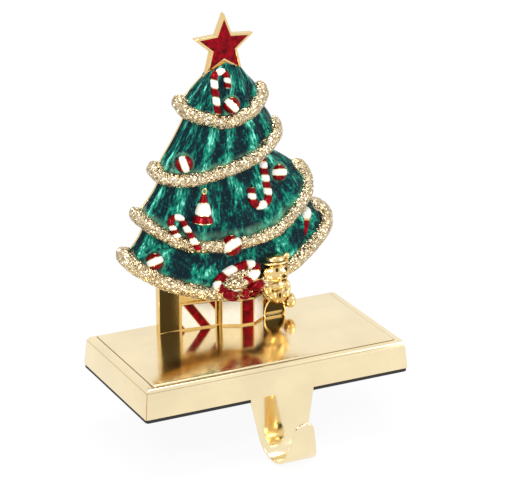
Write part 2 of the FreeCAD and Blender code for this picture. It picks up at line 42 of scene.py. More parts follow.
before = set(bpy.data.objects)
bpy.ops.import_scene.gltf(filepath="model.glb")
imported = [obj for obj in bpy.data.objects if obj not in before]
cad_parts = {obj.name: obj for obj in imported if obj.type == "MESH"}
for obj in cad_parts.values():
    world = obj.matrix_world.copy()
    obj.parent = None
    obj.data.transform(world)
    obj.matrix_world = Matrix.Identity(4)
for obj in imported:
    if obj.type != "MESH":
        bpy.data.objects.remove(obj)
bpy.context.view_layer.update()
MM = 0.001
SHELL_LOW, SHELL_HIGH = [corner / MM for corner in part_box("base_shell")]
PAD_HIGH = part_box("base_pad")[1] / MM


def length(name, description, default):
    """A size in millimetres that the user can change."""
    return bpy.props.FloatProperty(name=name, description=description, default=default, min=0.0)


def colour(name, description, default):
    """A colour that the user can change."""
    return bpy.props.FloatVectorProperty(name=name, description=description, default=default,
                                         subtype="COLOR", size=3, min=0.0, max=1.0)


class HolderBase(bpy.types.PropertyGroup):
    """Sizes of the pressed base and its hook, in millimetres."""
    draft: length("Draft", "How far each side leans in over the shell's height", 1.3)
    sheet: length("Sheet", "Thickness of the metal", 1.5)
    edge: length("Top edge", "Radius of the edge round the roof", 2.0)
    border_x: length("End border", "Width of the border at the ends, from the rim", 6.4)
    border_y: length("Front border", "Width of the border in front and behind, from the rim", 4.5)
    hook_shift: length("Hook offset", "How far right of the middle the hook stands", 1.2)
    hook_half: length("Hook half width", "Half the hook's width at the rim", 16.9)
    hook_taper: length("Hook taper", "Half width lost for each millimetre along the strap", 0.2)
    hook_drop: length("Hook drop", "Length of the straight strap below the rim", 19.75)
    hook_bend: length("Hook bend", "Radius of the bend, at the middle of the sheet", 10.0)
    hook_lean: length("Lip lean", "Degrees that the lip leans forward", 10.6)
    hook_lip: length("Lip length", "Length of the straight lip", 14.9)
    hook_round: length("Lip rounding", "Radius of the lip's corners", 3.4)


class HolderFigure(bpy.types.PropertyGroup):
    """Sizes of the cast tree, in millimetres."""
    back: length("Back", "How far the flat back stands behind the middle of the base", 25.5)
    rope: length("Garland radius", "Radius of the garlands", 3.0)
    grain: length("Grain", "Size of the garlands' grains", 0.62)
    skin: length("Enamel", "How far the enamel stands on the metal", 0.6)
    fold: length("Fold depth", "Depth of the tiers' folds", 0.8)


class HolderColours(bpy.types.PropertyGroup):
    """Colours of the finishes."""
    pale_gold: colour("Pale gold", "The base and the hook", (0.91, 0.765, 0.49))
    rich_gold: colour("Rich gold", "The casting", (0.83, 0.6, 0.27))
    glitter: colour("Glitter gold", "The grained garlands", (0.9, 0.76, 0.5))
    dark_gold: colour("Dark gold", "Deep and shaded gold", (0.075, 0.05, 0.018))
    # Deep green stands for deeper enamel and painted shade in the folds' hollows; pale green is a
    # painted highlight on the strokes
    green_deep: colour("Deep green", "The enamel in the folds' hollows", (0.0, 0.012, 0.018))
    green_bright: colour("Bright green", "The enamel on the folds' crests", (0.0, 0.25, 0.16))
    green_highlight: colour("Pale green", "The thinnest enamel", (0.2, 0.8, 0.6))
    red: colour("Red", "The red enamel", (0.2, 0.0, 0.005))
    white: colour("White", "The white enamel", (0.86, 0.83, 0.76))
    pad: colour("Pad", "The non-slip pad", (0.012, 0.012, 0.012))


class HolderStage(bpy.types.PropertyGroup):
    """Camera, lamps and floor."""
    azimuth: bpy.props.FloatProperty(name="Azimuth", description="Degrees round the holder",
                                     default=-26.359)
    elevation: bpy.props.FloatProperty(name="Elevation", description="Degrees above level",
                                       default=20.502)
    distance: length("Distance", "From the camera to the view's middle", 1175.3)
    shift_x: length("View right", "How far right of the origin the view's middle lies", 6.917)
    shift_z: length("View up", "How far above the origin the view's middle lies", 61.56)
    lens: length("Lens", "Focal length on a 36 mm wide frame", 166.2)
    floor_drop: length("Floor drop", "How far the floor lies below the hook", 1.0)
    world: bpy.props.FloatProperty(name="World", description="Level of the light all round",
                                   default=0.75, min=0.0)


def settings(group):
    """The values of one property group."""
    return getattr(bpy.context.scene, "holder_" + group)


# Places and shapes that the source of the solids gives too, in millimetres
STATIONS = (-82.0, -58.0, -30.0, 0.0, 30.0, 58.0, 82.0)
OVAL_POWER = 2.5
HEM_SETBACK = 0.9
EDGE_ANGLE = 82.0
FOLDS = 7
GARLANDS = (
    dict(x=-1.2, half=21.4, depth=9.0, heights=(133.0, 128.7, 125.5, 122.6, 125.3, 130.8, 133.6),
         left=((-21.6, 136.6),), right=((18.4, 138.0),)),
    dict(x=-4.1, half=32.0, depth=11.0, heights=(101.2, 98.0, 96.5, 98.8, 103.2, 110.0, 113.6),
         left=((-34.2, 105.0),), right=((26.6, 119.4),)),
    dict(x=-0.1, half=45.7, depth=12.0, heights=(80.2, 74.8, 64.2, 60.9, 64.2, 76.5, 84.4),
         left=((-44.6, 83.4),), right=((42.0, 91.0), (36.5, 95.0))),
    dict(x=1.6, half=54.3, depth=13.0, heights=(60.2, 53.6, 42.5, 36.2, 44.2, 56.6, 63.6),
         left=((-51.4, 64.4),), right=((51.6, 69.4), (47.0, 72.6))),
)
TIERS = (
    dict(x=0.0, half=7.5, top=156.0, drop=9.0, depth=4.5, left=0.5, right=1.0),
    dict(x=-0.8, half=16.5, top=129.0, drop=-3.0, depth=5.5, left=-1.0, right=2.2),
    dict(x=-3.5, half=28.0, top=104.0, drop=0.0, depth=7.0, left=-2.5, right=3.5),
    dict(x=-0.5, half=41.5, top=68.0, drop=-9.0, depth=8.5, left=-2.0, right=3.0),
)
BALLS = (
    dict(tier=1, place=(1.1, 130.4), radius=4.0, proud=0.6, tilt=40.0),
    dict(tier=2, place=(-23.9, 104.3), radius=4.2, proud=0.6, tilt=10.0),
    dict(tier=3, place=(27.5, 92.0), radius=4.0, proud=0.6, tilt=92.0),
    dict(tier=3, place=(-1.5, 60.9), radius=5.2, proud=2.4, tilt=120.0),
    dict(tier=4, place=(-39.9, 57.2), radius=4.2, proud=0.6, tilt=112.0),
)
BALL_BAND = 0.42
CANES = (
    dict(tier=1, foot=(-6.4, 127.2), knee=(-7.0, 143.4), proud=(0.6, 0.6), side=1, crook=3.4,
         arm=5.0, radius=1.9, stripes=(4, 3, 2)),
    dict(tier=3, foot=(18.0, 102.6), knee=(20.2, 82.6), proud=(0.6, 0.6), side=-1, crook=4.3,
         arm=6.0, radius=2.2, stripes=(6, 3, 2)),
    dict(tier=3, foot=(-20.2, 62.4), knee=(-26.0, 76.6), proud=(5.2, 0.8), side=-1, crook=3.1,
         arm=6.4, radius=1.75, stripes=(5, 2, 3)),
)
BELL = dict(tier=3, place=(-14.3, 88.6), proud=0.8,
            steps=((0.0, 1.0), (4.6, 2.3), (10.4, 3.9), (14.4, 5.4)))
DROP = dict(tier=4, place=(43.4, 70.8), egg=3.3, cone_top=2.3, cone_tip=0.7, cone_length=8.5)
PANEL_LEFT, PANEL_RIGHT, PANEL_FRONT = -36.3, -25.2, 22.2
FOOT_TOP = 50.0
TRUNK_RIGHT, TRUNK_DEPTH = 31.0, 2.6
GIFT_HEIGHT = 14.0
GIFT_RIM = 0.9
STRIPED_GIFT = ((-25.2, 21.2), (-6.4, 19.0))
GROOVE_FRONT = 20.0
RIBBON_GIFT = ((-4.2, 17.9), (4.6, 13.7), (11.2, 13.2), (18.8, 18.6))
STRIPE_START, STRIPE_RED, STRIPE_WHITE, STRIPE_LEAN = 0.55, 0.27, 0.43, -0.46
WREATH_CENTRE = Vector((0.9, 11.0, 44.4))
WREATH_ACROSS = Vector((10.3, 0.0, 3.2))
WREATH_ALONG = Vector((-0.6, 3.0, 3.1))
WREATH_BEAD, WREATH_BEADS, WREATH_FIRST = 2.5, 10, 174.0
STAR_CENTRE, STAR_RADIUS, STAR_RATIO = 158.3, 16.2, 0.44
STAR_THICKNESS, STAR_RIM, STAR_TIP = 3.5, 1.3, 26.0

# Shapes that only the looks have, in millimetres
PANEL_STEP = 0.75
RIM_RAISED = 0.4
# Distance out from the raised panel and height above the roof, from the groove to the panel
BORDER = ((0.95, 0.0), (0.8, -0.05), (0.55, 0.05), (0.4, 0.2), (0.0, 0.62), (-0.25, 0.71),
          (-0.6, PANEL_STEP))
CORNER_RADIUS, SEAM_DEPTH = 0.9, 0.55
# Turns of a round corner, in degrees; the sheet's seam lies between the middle ones
CORNER_TURNS = (0.0, 18.0, 33.0, 37.0, 45.0, 53.0, 57.0, 72.0, 90.0)
SEAM_TURNS = (36.0, 54.0)
# How far in from the rim the pad's side stands at each height
PAD_EDGE = ((0.5, 0.0), (0.3, 0.2), (0.3, PAD_HIGH.z + RIM_RAISED))
HOOK_ROOT = -1.0
HOOK_EDGE = 0.35
# Pieces that overlap end at different depths behind, so that no two faces share a plane
TIER_SETBACK = 0.05
GARLAND_SETBACK = 0.8
BEAR_SETBACK = 0.9
# Swelling of each garland at its left end and its width elsewhere, against the plain radius
ROPES = ((0.6, 1.14), (0.65, 1.14), (0.5, 1.08), (0.6, 1.22))
SWELL_REACH = 0.14
# Steps of each garland between its stations, and points round it
ROPE_STEPS = (46, 60, 74, 88)
GARLAND_SIDES = 60
# Steps across and down a tier's metal, its enamel and the surface that ornaments are set on
METAL_STEPS, ENAMEL_STEPS, SEAT_STEPS = (72, 9), (300, 44), (60, 10)
# Depth and frequency of the garlands' lumps, of their smaller ones and of their grit
LUMPS = ((0.4, 0.22), (0.12, 0.6), (0.05, 2.2))
FINE_FOLD = 0.22
UNEVEN = 0.35
# Where the enamel pools along a hem, as shares of the tier's height, and round a ball; there it rises
# and is lightened by a painted highlight
POOL_HEM, POOL_HEM_WIDTH = 0.9, 0.08
POOL_RING, POOL_RING_WIDTH = 0.5, 0.8
POOL_RISE, POOL_HIGHLIGHT = 0.4, 0.55
# Ribs on each of the star's sides, their radius and how steeply a side without ribs looks up
STAR_RIBS, RIB_RADIUS, STAR_UPWARD = 16, 0.27, 0.25
# Round ornaments: depth of the core in skins, and degrees of the gaps and of the soft edges
BALL_CORE, BALL_GAP, BALL_SOFT = 0.55, 2.2, 9
BELL_LEAN = 1.6
# Striped tubes: the core's share of the radius, the radius share and length of the soft ends
# of each stripe, and the gap between stripes
TUBE_CORE, TUBE_LOW, TUBE_SOFT, TUBE_GAP = 0.84, 0.8, 0.7, 0.1
# Reach and rise of the ring's grained middle, and depth and frequency of its lumps
MIDDLE_REACH, MIDDLE_RISE = 0.95, 1.9
MIDDLE_LUMPS, SPILL_LUMPS = (0.5, 0.9), 0.5
# Centre and half sizes of the grained swelling over the ring's lower front
SPILL = ((-1.0, 7.6, 42.3), (6.8, 3.5, 2.7))
# Centre, half sizes, side of the pinch and lean of each part of the bow
BOW_PARTS = (
    ((-4.4, 7.0, 37.6), (4.3, 2.6, 2.9), -1, 0.12),
    ((9.4, 7.0, 39.6), (4.6, 2.6, 2.7), 1, -0.35),
    ((2.8, 5.2, 37.9), (2.0, 2.0, 2.3), 0, 0.0),
    ((-3.4, 8.0, 34.6), (3.2, 1.6, 1.2), 0, 0.25),
    ((9.4, 7.8, 36.0), (3.4, 1.6, 1.1), 0, -0.3),
    ((4.2, 8.6, 34.4), (2.9, 2.0, 1.5), 0, 0.0),
)
# Head, muzzle, ears, body, chest, arms, paws, hat and the right foot
BEAR_SWELLS = (
    ((22.6, 12.0, 43.0), (7.3, 5.6, 5.4)),
    ((24.0, 8.0, 42.2), (3.3, 2.7, 2.5)),
    ((16.8, 11.2, 43.4), (2.3, 2.4, 2.9)),
    ((28.9, 12.2, 43.2), (2.1, 2.6, 3.2)),
    ((24.8, 15.8, 32.4), (6.9, 6.0, 8.0)),
    ((22.8, 11.8, 36.0), (5.2, 3.2, 2.8)),
    ((17.6, 11.8, 35.6), (2.6, 3.0, 4.8)),
    ((28.6, 12.8, 33.6), (2.3, 2.9, 4.2)),
    ((20.2, 10.4, 31.4), (2.4, 1.9, 2.2)),
    ((27.6, 11.0, 31.0), (2.3, 1.9, 2.1)),
    ((22.2, 12.0, 48.6), (7.4, 4.8, 1.2)),
    ((22.8, 13.0, 49.8), (5.2, 4.0, 2.2)),
    ((28.6, 12.6, 50.4), (1.9, 1.9, 1.9)),
    ((33.4, 18.0, 24.0), (3.0, 3.8, 4.0)),
    ((32.6, 14.8, 24.2), (2.5, 1.1, 3.0)),
)
# Painted shade as dark gold marks: eyes, nose, mouth, the shade under the chin and between the paws
BEAR_SHADES = (
    ((21.0, 7.4, 45.6), (0.9, 0.6, 1.4)),
    ((26.0, 7.6, 45.4), (0.9, 0.6, 1.3)),
    ((24.0, 5.4, 42.8), (1.3, 0.6, 1.0)),
    ((24.2, 6.0, 40.4), (1.5, 0.5, 0.4)),
    ((20.2, 10.2, 38.4), (1.6, 1.0, 0.5)),
    ((24.0, 10.2, 31.0), (0.8, 0.9, 1.6)),
)
BEAR_FOOT = Vector((25.4, 18.2, 18.8))
# Distance back and radius of the left foot, from its sole to its round edge
FOOT_PROFILE = ((1.3, 0.2), (1.3, 5.0), (1.1, 5.2), (0.2, 5.3), (0.0, 5.6), (0.15, 6.1), (0.5, 6.3))
FOOT_STRETCH = 0.28
BLEND_SIZE = 0.28
# How much of the floor's look is plain white; the rest takes light and shadow
FLOOR_SHOWN = 0.93
# Half the floor's width and the point that the lamps face, in metres
FLOOR_HALF = 6.0
LAMP_TARGET = (0.0, 0.0, 0.07)
# Name, place in metres, width in metres and power of each lamp
LAMPS = (
    ("key lamp", (-0.75, -0.75, 0.95), 0.45, 9.0),
    ("fill lamp", (0.95, -0.7, 0.55), 0.6, 5.0),
    ("top lamp", (0.05, 0.15, 1.2), 0.6, 6.0),
)


# Shader node groups and materials

def node(tree, kind, place, **values):
    """A node with its settings and the values of its unlinked sockets."""
    made = tree.nodes.new("ShaderNode" + kind)
    made.location = (200 * place[0], -200 * place[1])
    for key, value in values.items():
        if key.startswith("in_"):
            index = key[3:]
            socket = made.inputs[int(index)] if index.isdigit() else made.inputs[index.replace("_", " ")]
            socket.default_value = value
        else:
            setattr(made, key, value)
    return made


def wire(tree, *links):
    """Links, each as its node, output, node and input."""
    for start, output, end, place in links:
        tree.links.new(start.outputs[output], end.inputs[place])


def fill(made, values):
    """Values of a node's unlinked sockets."""
    for key, value in values.items():
        made.inputs[key].default_value = value
    return made


def new_group(name, inputs, outputs):
    """An empty shader group with named inputs and outputs, and its two ends."""
    tree = bpy.data.node_groups.new(name, "ShaderNodeTree")
    for label, default in inputs.items():
        socket = tree.interface.new_socket(label, in_out="INPUT", socket_type="NodeSocketFloat")
        socket.default_value = default
    for label in outputs:
        kind = "NodeSocketVector" if label == "Normal" else "NodeSocketFloat"
        tree.interface.new_socket(label, in_out="OUTPUT", socket_type=kind)
    return tree, tree.nodes.new("NodeGroupInput"), tree.nodes.new("NodeGroupOutput")


def cast_ripple_group():
    """Soft unevenness of cast and hand-polished surfaces, as a normal and a mask."""
    tree, start, end = new_group("Cast ripple", {"Size": 300.0, "Strength": 0.3, "Depth": 0.0003},
                                 ("Normal", "Mask"))
    place = node(tree, "TexCoord", (0, 0))
    cloud = node(tree, "TexNoise", (1, 0), in_Detail=3.0, in_Roughness=0.5)
    bump = node(tree, "Bump", (2, 0))
    wire(tree, (place, "Object", cloud, "Vector"), (start, "Size", cloud, "Scale"),
         (start, "Strength", bump, "Strength"), (start, "Depth", bump, "Distance"),
         (cloud, "Fac", bump, "Height"), (bump, "Normal", end, "Normal"),
         (cloud, "Fac", end, "Mask"))
    return tree


def grain_group():
    """Packed grains whose facets each face their own way, as a normal and a mask."""
    tree, start, end = new_group("Grain", {"Size": 1300.0, "Tilt": 0.9}, ("Normal", "Mask", "Edge"))
    place = node(tree, "TexCoord", (0, 0))
    cells = node(tree, "TexVoronoi", (1, 0))
    gaps = node(tree, "TexVoronoi", (1, 2), feature="DISTANCE_TO_EDGE")
    middle = node(tree, "VectorMath", (2, 0), operation="SUBTRACT", in_1=(0.5, 0.5, 0.5))
    lean = node(tree, "VectorMath", (3, 0), operation="SCALE")
    surface = node(tree, "NewGeometry", (3, 2))
    total = node(tree, "VectorMath", (4, 0), operation="ADD")
    unit = node(tree, "VectorMath", (5, 0), operation="NORMALIZE")
    grey = node(tree, "SeparateColor", (3, 3))
    for cell in (cells, gaps):
        wire(tree, (place, "Object", cell, "Vector"), (start, "Size", cell, "Scale"))
    wire(tree, (cells, "Color", middle, 0), (middle, 0, lean, 0), (start, "Tilt", lean, "Scale"),
         (lean, 0, total, 0), (surface, "Normal", total, 1), (total, 0, unit, 0),
         (cells, "Color", grey, 0), (unit, 0, end, "Normal"), (grey, 0, end, "Mask"),
         (gaps, "Distance", end, "Edge"))
    return tree


def streak_group():
    """Fine lines along a piece's flow, with specks, from its flow coordinates."""
    tree, start, end = new_group("Streaks", {"Across": 60.0, "Along": 4.0, "Depth": 0.0003},
                                 ("Mask", "Specks", "Normal"))
    flow = node(tree, "UVMap", (0, 0), uv_map="flow")
    scale = node(tree, "CombineXYZ", (0, 1))
    stretch = node(tree, "VectorMath", (1, 0), operation="MULTIPLY")
    lines = node(tree, "TexNoise", (2, 0), in_Scale=1.0, in_Detail=4.0, in_Roughness=0.65)
    place = node(tree, "TexCoord", (1, 2))
    specks = node(tree, "TexNoise", (2, 2), in_Scale=900.0, in_Detail=2.0)
    bump = node(tree, "Bump", (3, 1), in_Strength=0.8)
    wire(tree, (start, "Across", scale, "X"), (start, "Along", scale, "Y"), (flow, "UV", stretch, 0),
         (scale, 0, stretch, 1), (stretch, 0, lines, "Vector"),
         (place, "Object", specks, "Vector"), (start, "Depth", bump, "Distance"),
         (lines, "Fac", bump, "Height"), (lines, "Fac", end, "Mask"),
         (specks, "Fac", end, "Specks"), (bump, "Normal", end, "Normal"))
    return tree


def group(name, build):
    """A shader group, built the first time it is asked for."""
    return bpy.data.node_groups.get(name) or build()


def new_material(name):
    """A material with its shader."""
    material = bpy.data.materials.new(name)
    material.use_nodes = True
    return material, material.node_tree, material.node_tree.nodes["Principled BSDF"]


def placed(tree, shared, place, **values):
    """A shared group as a node, with its own values."""
    made = node(tree, "Group", place)
    made.node_tree = shared
    return fill(made, values)


def rippled(tree, row, **values):
    """The soft unevenness as a node."""
    return placed(tree, group("Cast ripple", cast_ripple_group), (-3, row), **values)


def ramp(tree, place, stops):
    """Colour ramp with stops of (position, colour)."""
    made = node(tree, "ValToRGB", place)
    elements = made.color_ramp.elements
    while len(elements) < len(stops):
        elements.new(0.5)
    for element, (position, shade) in zip(elements, stops):
        element.position = position
        element.color = (*shade, 1.0)
    return made


def level(value):
    """A grey."""
    return (value, value, value)


def shade(rgb, factor):
    """A lighter or darker colour."""
    return tuple(min(1.0, part * factor) for part in rgb)


def gold_material(name, rgb, roughness, ripple_size, ripple_strength):
    """Plated metal with soft unevenness, a little smear in its polish, and painted shade: dark brown
    where points are marked for shade.
    """
    material, tree, shader = new_material(name)
    ripple = rippled(tree, 1, Size=ripple_size, Strength=ripple_strength)
    # Painted shade: the point mark mixes in a dark brown, for the base's dark lines and the bear's
    # hollows
    crease = node(tree, "Attribute", (-2, -1), attribute_name="crease")
    painted_shade_mix = node(tree, "Mix", (-1, 0), data_type="RGBA")
    fill(painted_shade_mix, {"B": (0.16, 0.09, 0.025, 1.0)})
    smear = rippled(tree, 2, Size=45.0, Strength=0.0)
    tint = ramp(tree, (-2, 0), [(0.3, shade(rgb, 0.94)), (0.7, shade(rgb, 1.04))])
    polish = ramp(tree, (-2, 2), [(0.3, level(roughness * 0.8)), (0.7, level(roughness * 1.35))])
    wire(tree, (smear, "Mask", tint, 0), (smear, "Mask", polish, 0), (tint, 0, painted_shade_mix, "A"),
         (crease, "Fac", painted_shade_mix, "Factor"), (painted_shade_mix, "Result", shader, "Base Color"),
         (polish, 0, shader, "Roughness"), (ripple, "Normal", shader, "Normal"))
    fill(shader, {"Metallic": 1.0})
    return material


def glitter_material(name, rgb):
    """Grained gold: each grain catches the light by itself, with painted shade darkening the gaps
    between.
    """
    material, tree, shader = new_material(name)
    size = 1.0 / (settings("figure").grain * MM)
    grain = placed(tree, group("Grain", grain_group), (-4, 0), Size=size, Tilt=1.35)
    tint = ramp(tree, (-2, 0), [(0.0, (0.5, 0.33, 0.14)), (0.3, shade(rgb, 0.95)), (0.7, rgb),
                                (1.0, (1.0, 0.95, 0.8))])
    # Painted shade: the gaps between the grains are darkened
    gap = ramp(tree, (-3, 2), [(0.0, (0.22, 0.14, 0.06)), (0.14, level(1.0))])
    dark = node(tree, "Mix", (-1, 0), data_type="RGBA", blend_type="MULTIPLY")
    fill(dark, {"Factor": 1.0})
    wire(tree, (grain, "Mask", tint, 0), (grain, "Edge", gap, 0), (tint, 0, dark, "A"),
         (gap, 0, dark, "B"), (dark, "Result", shader, "Base Color"),
         (grain, "Normal", shader, "Normal"))
    fill(shader, {"Metallic": 1.0, "Roughness": 0.24})
    return material


def enamel(shader, metal, weight, index):
    """Body of an enamel and its glassy top, thin enough to leave its depth dark."""
    fill(shader, {"Metallic": metal, "Roughness": 0.3, "Specular IOR Level": 0.05,
                  "Coat Weight": weight, "Coat IOR": index, "Coat Roughness": 0.03})


def green_material(name, bright):
    """Translucent green over ribbed metal: near black in the folds, as deeper enamel and painted shade,
    with pale strokes and pools of painted highlight.
    """
    deep = tuple(settings("colours").green_deep)
    pale = tuple(settings("colours").green_highlight)
    material, tree, shader = new_material(name)
    streaks = placed(tree, group("Streaks", streak_group), (-6, 0), Across=80.0, Along=9.0,
                     Depth=0.0005)
    broad = placed(tree, group("Streaks", streak_group), (-6, 2), Across=17.0, Along=3.4, Depth=0.0)
    hollow = node(tree, "Attribute", (-6, 4), attribute_name="crest")
    pool = node(tree, "Attribute", (-6, 5), attribute_name="pool")
    fine = node(tree, "Math", (-5, 0), operation="MULTIPLY_ADD", in_1=2.1, in_2=-1.05)
    wide = node(tree, "Math", (-5, 2), operation="MULTIPLY_ADD", in_1=2.4, in_2=-1.2)
    both = node(tree, "Math", (-4, 1), operation="ADD")
    total = node(tree, "Math", (-3, 1), operation="ADD")
    # Deep green in the hollows is deeper enamel and painted shade; the pale green top is painted
    # highlight
    base = ramp(tree, (-2, 0), [(0.2, deep), (0.42, (0.0, 0.035, 0.045)), (0.58, shade(bright, 0.6)),
                                (0.74, bright), (0.9, shade(pale, 0.4)), (1.0, pale)])
    glint = ramp(tree, (-3, 3), [(0.6, level(0.0)), (0.7, level(0.2))])
    specked = node(tree, "Mix", (-1, 0), data_type="RGBA")
    # Painted highlight: pale green where the enamel pools
    pooled = node(tree, "Mix", (0, 0), data_type="RGBA")
    wire(tree, (streaks, "Mask", fine, 0), (broad, "Mask", wide, 0), (fine, 0, both, 0),
         (wide, 0, both, 1), (both, 0, total, 0), (hollow, "Fac", total, 1), (total, 0, base, 0),
         (streaks, "Specks", glint, 0), (glint, 0, specked, "Factor"), (base, 0, specked, "A"),
         (specked, "Result", pooled, "A"), (pool, "Fac", pooled, "Factor"),
         (pooled, "Result", shader, "Base Color"), (streaks, "Normal", shader, "Normal"))
    fill(specked, {"B": (0.06, 0.42, 0.3, 1.0)})
    fill(pooled, {"B": (0.2, 0.5, 0.3, 1.0)})
    enamel(shader, 0.25, 0.5, 1.25)
    return material


def clouded(tree, shader, rgb, cloud, low, **values):
    """Soft unevenness, and a colour that is darker and lighter with it."""
    ripple = rippled(tree, 1, Depth=0.0002, **values)
    tint = ramp(tree, (-2, 0), [(low, shade(rgb, 1.0 - cloud)), (1.0 - low, shade(rgb, 1.0 + cloud))])
    wire(tree, (ripple, "Mask", tint, 0), (tint, 0, shader, "Base Color"),
         (ripple, "Normal", shader, "Normal"))


def enamel_material(name, rgb, metal, cloud, coat):
    """Glossy enamel with a faint cloudiness in its depth."""
    material, tree, shader = new_material(name)
    clouded(tree, shader, rgb, cloud, 0.33, Size=420.0, Strength=0.25)
    enamel(shader, metal, *coat)
    return material


def rough_material(name, rgb, roughness, metal=0.0, size=900.0):
    """Matt surface with fine pores."""
    material, tree, shader = new_material(name)
    clouded(tree, shader, rgb, 0.3, 0.3, Size=size, Strength=0.6)
    fill(shader, {"Roughness": roughness, "Metallic": metal})
    return material


# Slot, maker and the maker's values of each finish; a text names one of the colours
FINISHES = {
    "pale gold": ("pale_gold", gold_material, "pale_gold", 0.13, 160.0, 0.06),
    "rich gold": ("rich_gold", gold_material, "rich_gold", 0.12, 420.0, 0.35),
    "glitter gold": ("rich_gold", glitter_material, "glitter"),
    # Painted shade: the dark gold of sheets and marks put in recesses and hollows
    "dark gold": ("rich_gold", gold_material, "dark_gold", 0.2, 420.0, 0.35),
    "green enamel": ("green_enamel", green_material, "green_bright"),
    "red enamel": ("red_enamel", enamel_material, "red", 0.3, 0.6, (0.6, 1.18)),
    "white enamel": ("white_enamel", enamel_material, "white", 0.0, 0.03, (1.0, 1.5)),
    "pad rubber": ("pad_rubber", rough_material, "pad", 0.8),
    "weight iron": ("weight_iron", rough_material, (0.1, 0.1, 0.1), 0.6, 1.0, 300.0),
    "screw steel": ("screw_steel", rough_material, (0.55, 0.55, 0.54), 0.3, 1.0, 500.0),
}


def finish(name):
    """A material by its finish, made the first time it is asked for."""
    _, maker, rgb, *values = FINISHES[name]
    if isinstance(rgb, str):
        rgb = tuple(getattr(settings("colours"), rgb))
    return bpy.data.materials.get(name) or maker(name, rgb, *values)


# Shapes

def piece(name, points, faces, finish_name, replaced=(), sharp=40.0, flow=None, marks=None):
    """An object from points in millimetres, riding on the frame's body."""
    mesh = bpy.data.meshes.new(name)
    mesh.from_pydata([tuple(part * MM for part in point) for point in points], [], faces)
    if flow:
        layer = mesh.uv_layers.new(name="flow")
        for loop in mesh.loops:
            layer.data[loop.index].uv = flow[loop.vertex_index]
    for label, values in (marks or {}).items():
        attribute = mesh.attributes.new(label, "FLOAT", "POINT")
        attribute.data.foreach_set("value", values)
    tidy = bmesh.new()
    tidy.from_mesh(mesh)
    bmesh.ops.recalc_face_normals(tidy, faces=tidy.faces)
    tidy.to_mesh(mesh)
    tidy.free()
    mesh.polygons.foreach_set("use_smooth", [True] * len(mesh.polygons))
    mesh.set_sharp_from_angle(angle=math.radians(sharp))
    mesh.materials.append(finish(finish_name))
    made = bpy.data.objects.new(name, mesh)
    bpy.context.scene.collection.objects.link(made)
    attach(made, "root")
    if replaced:
        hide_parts(*replaced)
    return made


def grid_faces(rows, columns, around=False, start=0):
    """Faces of a grid of points, closed across its columns if it goes around."""
    faces = []
    last = columns if around else columns - 1
    for row in range(rows - 1):
        for column in range(last):
            a = start + row * columns + column
            b = start + row * columns + (column + 1) % columns
            faces.append((a, b, b + columns, a + columns))
    return faces


def sheet_faces(rows, columns):
    """Faces of a closed sheet between a grid of points and the same grid further back."""
    count = rows * columns
    faces = grid_faces(rows, columns)
    faces += [face[::-1] for face in grid_faces(rows, columns, start=count)]
    border = list(range(columns))
    border += [row * columns + columns - 1 for row in range(1, rows)]
    border += [(rows - 1) * columns + column for column in range(columns - 2, -1, -1)]
    border += [row * columns for row in range(rows - 2, 0, -1)]
    return faces + [(b, a, a + count, b + count) for a, b in zip(border, border[1:] + border[:1])]


class Solid:
    """Points and faces that grow into one piece."""

    def __init__(self):
        self.points = []
        self.faces = []

    def add(self, points, faces):
        start = len(self.points)
        self.points += points
        self.faces += [tuple(start + index for index in face) for face in faces]

    def rings(self, rings, caps=True):
        """Closed skin over rings of points with a cap at each end."""
        columns = len(rings[0])
        points = [point for ring in rings for point in ring]
        faces = grid_faces(len(rings), columns, True)
        if caps:
            faces.append(tuple(range(columns))[::-1])
            faces.append(tuple(range(len(points) - columns, len(points))))
        self.add(points, faces)

    def piece(self, name, finish_name, replaced=(), sharp=40.0):
        return piece(name, self.points, self.faces, finish_name, replaced, sharp)


def frames(path, hint=Vector((0, 1, 0)), closed=False):
    """Direction and two sides at each point of a path, with no sudden turn."""
    made = []
    count = len(path)
    aside = hint.copy()
    for index in range(count):
        before = path[index - 1] if index or closed else path[0]
        after = path[(index + 1) % count] if index < count - 1 or closed else path[-1]
        direction = (after - before).normalized()
        aside = (aside - direction * aside.dot(direction)).normalized()
        made.append((direction, aside, direction.cross(aside)))
    return made


def circle(centre, aside, across, radius, steps):
    """Points round a centre."""
    made = []
    for step in range(steps):
        turn = math.tau * step / steps
        made.append(centre + (aside * math.cos(turn) + across * math.sin(turn)) * radius)
    return made


def curve(points, count):
    """Smooth curve through the points, with a fixed number of steps to each stretch."""
    ends = [points[0] * 2 - points[1]] + list(points) + [points[-1] * 2 - points[-2]]
    made = []
    for index in range(1, len(ends) - 2):
        a, b, c, d = ends[index - 1:index + 3]
        for step in range(count):
            t = step / count
            made.append(((b * 2) + (c - a) * t + (a * 2 - b * 5 + c * 4 - d) * t * t
                         + (b * 3 - a - c * 3 + d) * t * t * t) * 0.5)
    made.append(points[-1].copy())
    return made


def lathe(centre, axis, profile, steps=40):
    """Closed turned shape from (along, radius) pairs."""
    axis = axis.normalized()
    aside = Vector((1, 0, 0)) if abs(axis.x) < 0.8 else Vector((0, 0, 1))
    aside = (aside - axis * aside.dot(axis)).normalized()
    across = axis.cross(aside)
    return [circle(centre + axis * along, aside, across, max(radius, 0.01), steps)
            for along, radius in profile]


def rounding(share, power=2, least=0.0):
    """Height of a rounded edge at a share of its width."""
    return math.sqrt(max(least, 1 - (1 - share) ** power))


def oval(item, angle, lift=0.0):
    """Point of a flattened half oval that bulges forward from the figure's back."""
    s = math.sin(math.radians(angle))
    c = math.cos(math.radians(angle))
    reach = (abs(s) ** OVAL_POWER + abs(c) ** OVAL_POWER) ** (-1 / OVAL_POWER)
    back = settings("figure").back - 0.5 + lift
    return item["x"] + item["half"] * reach * s, back - item["depth"] * reach * c


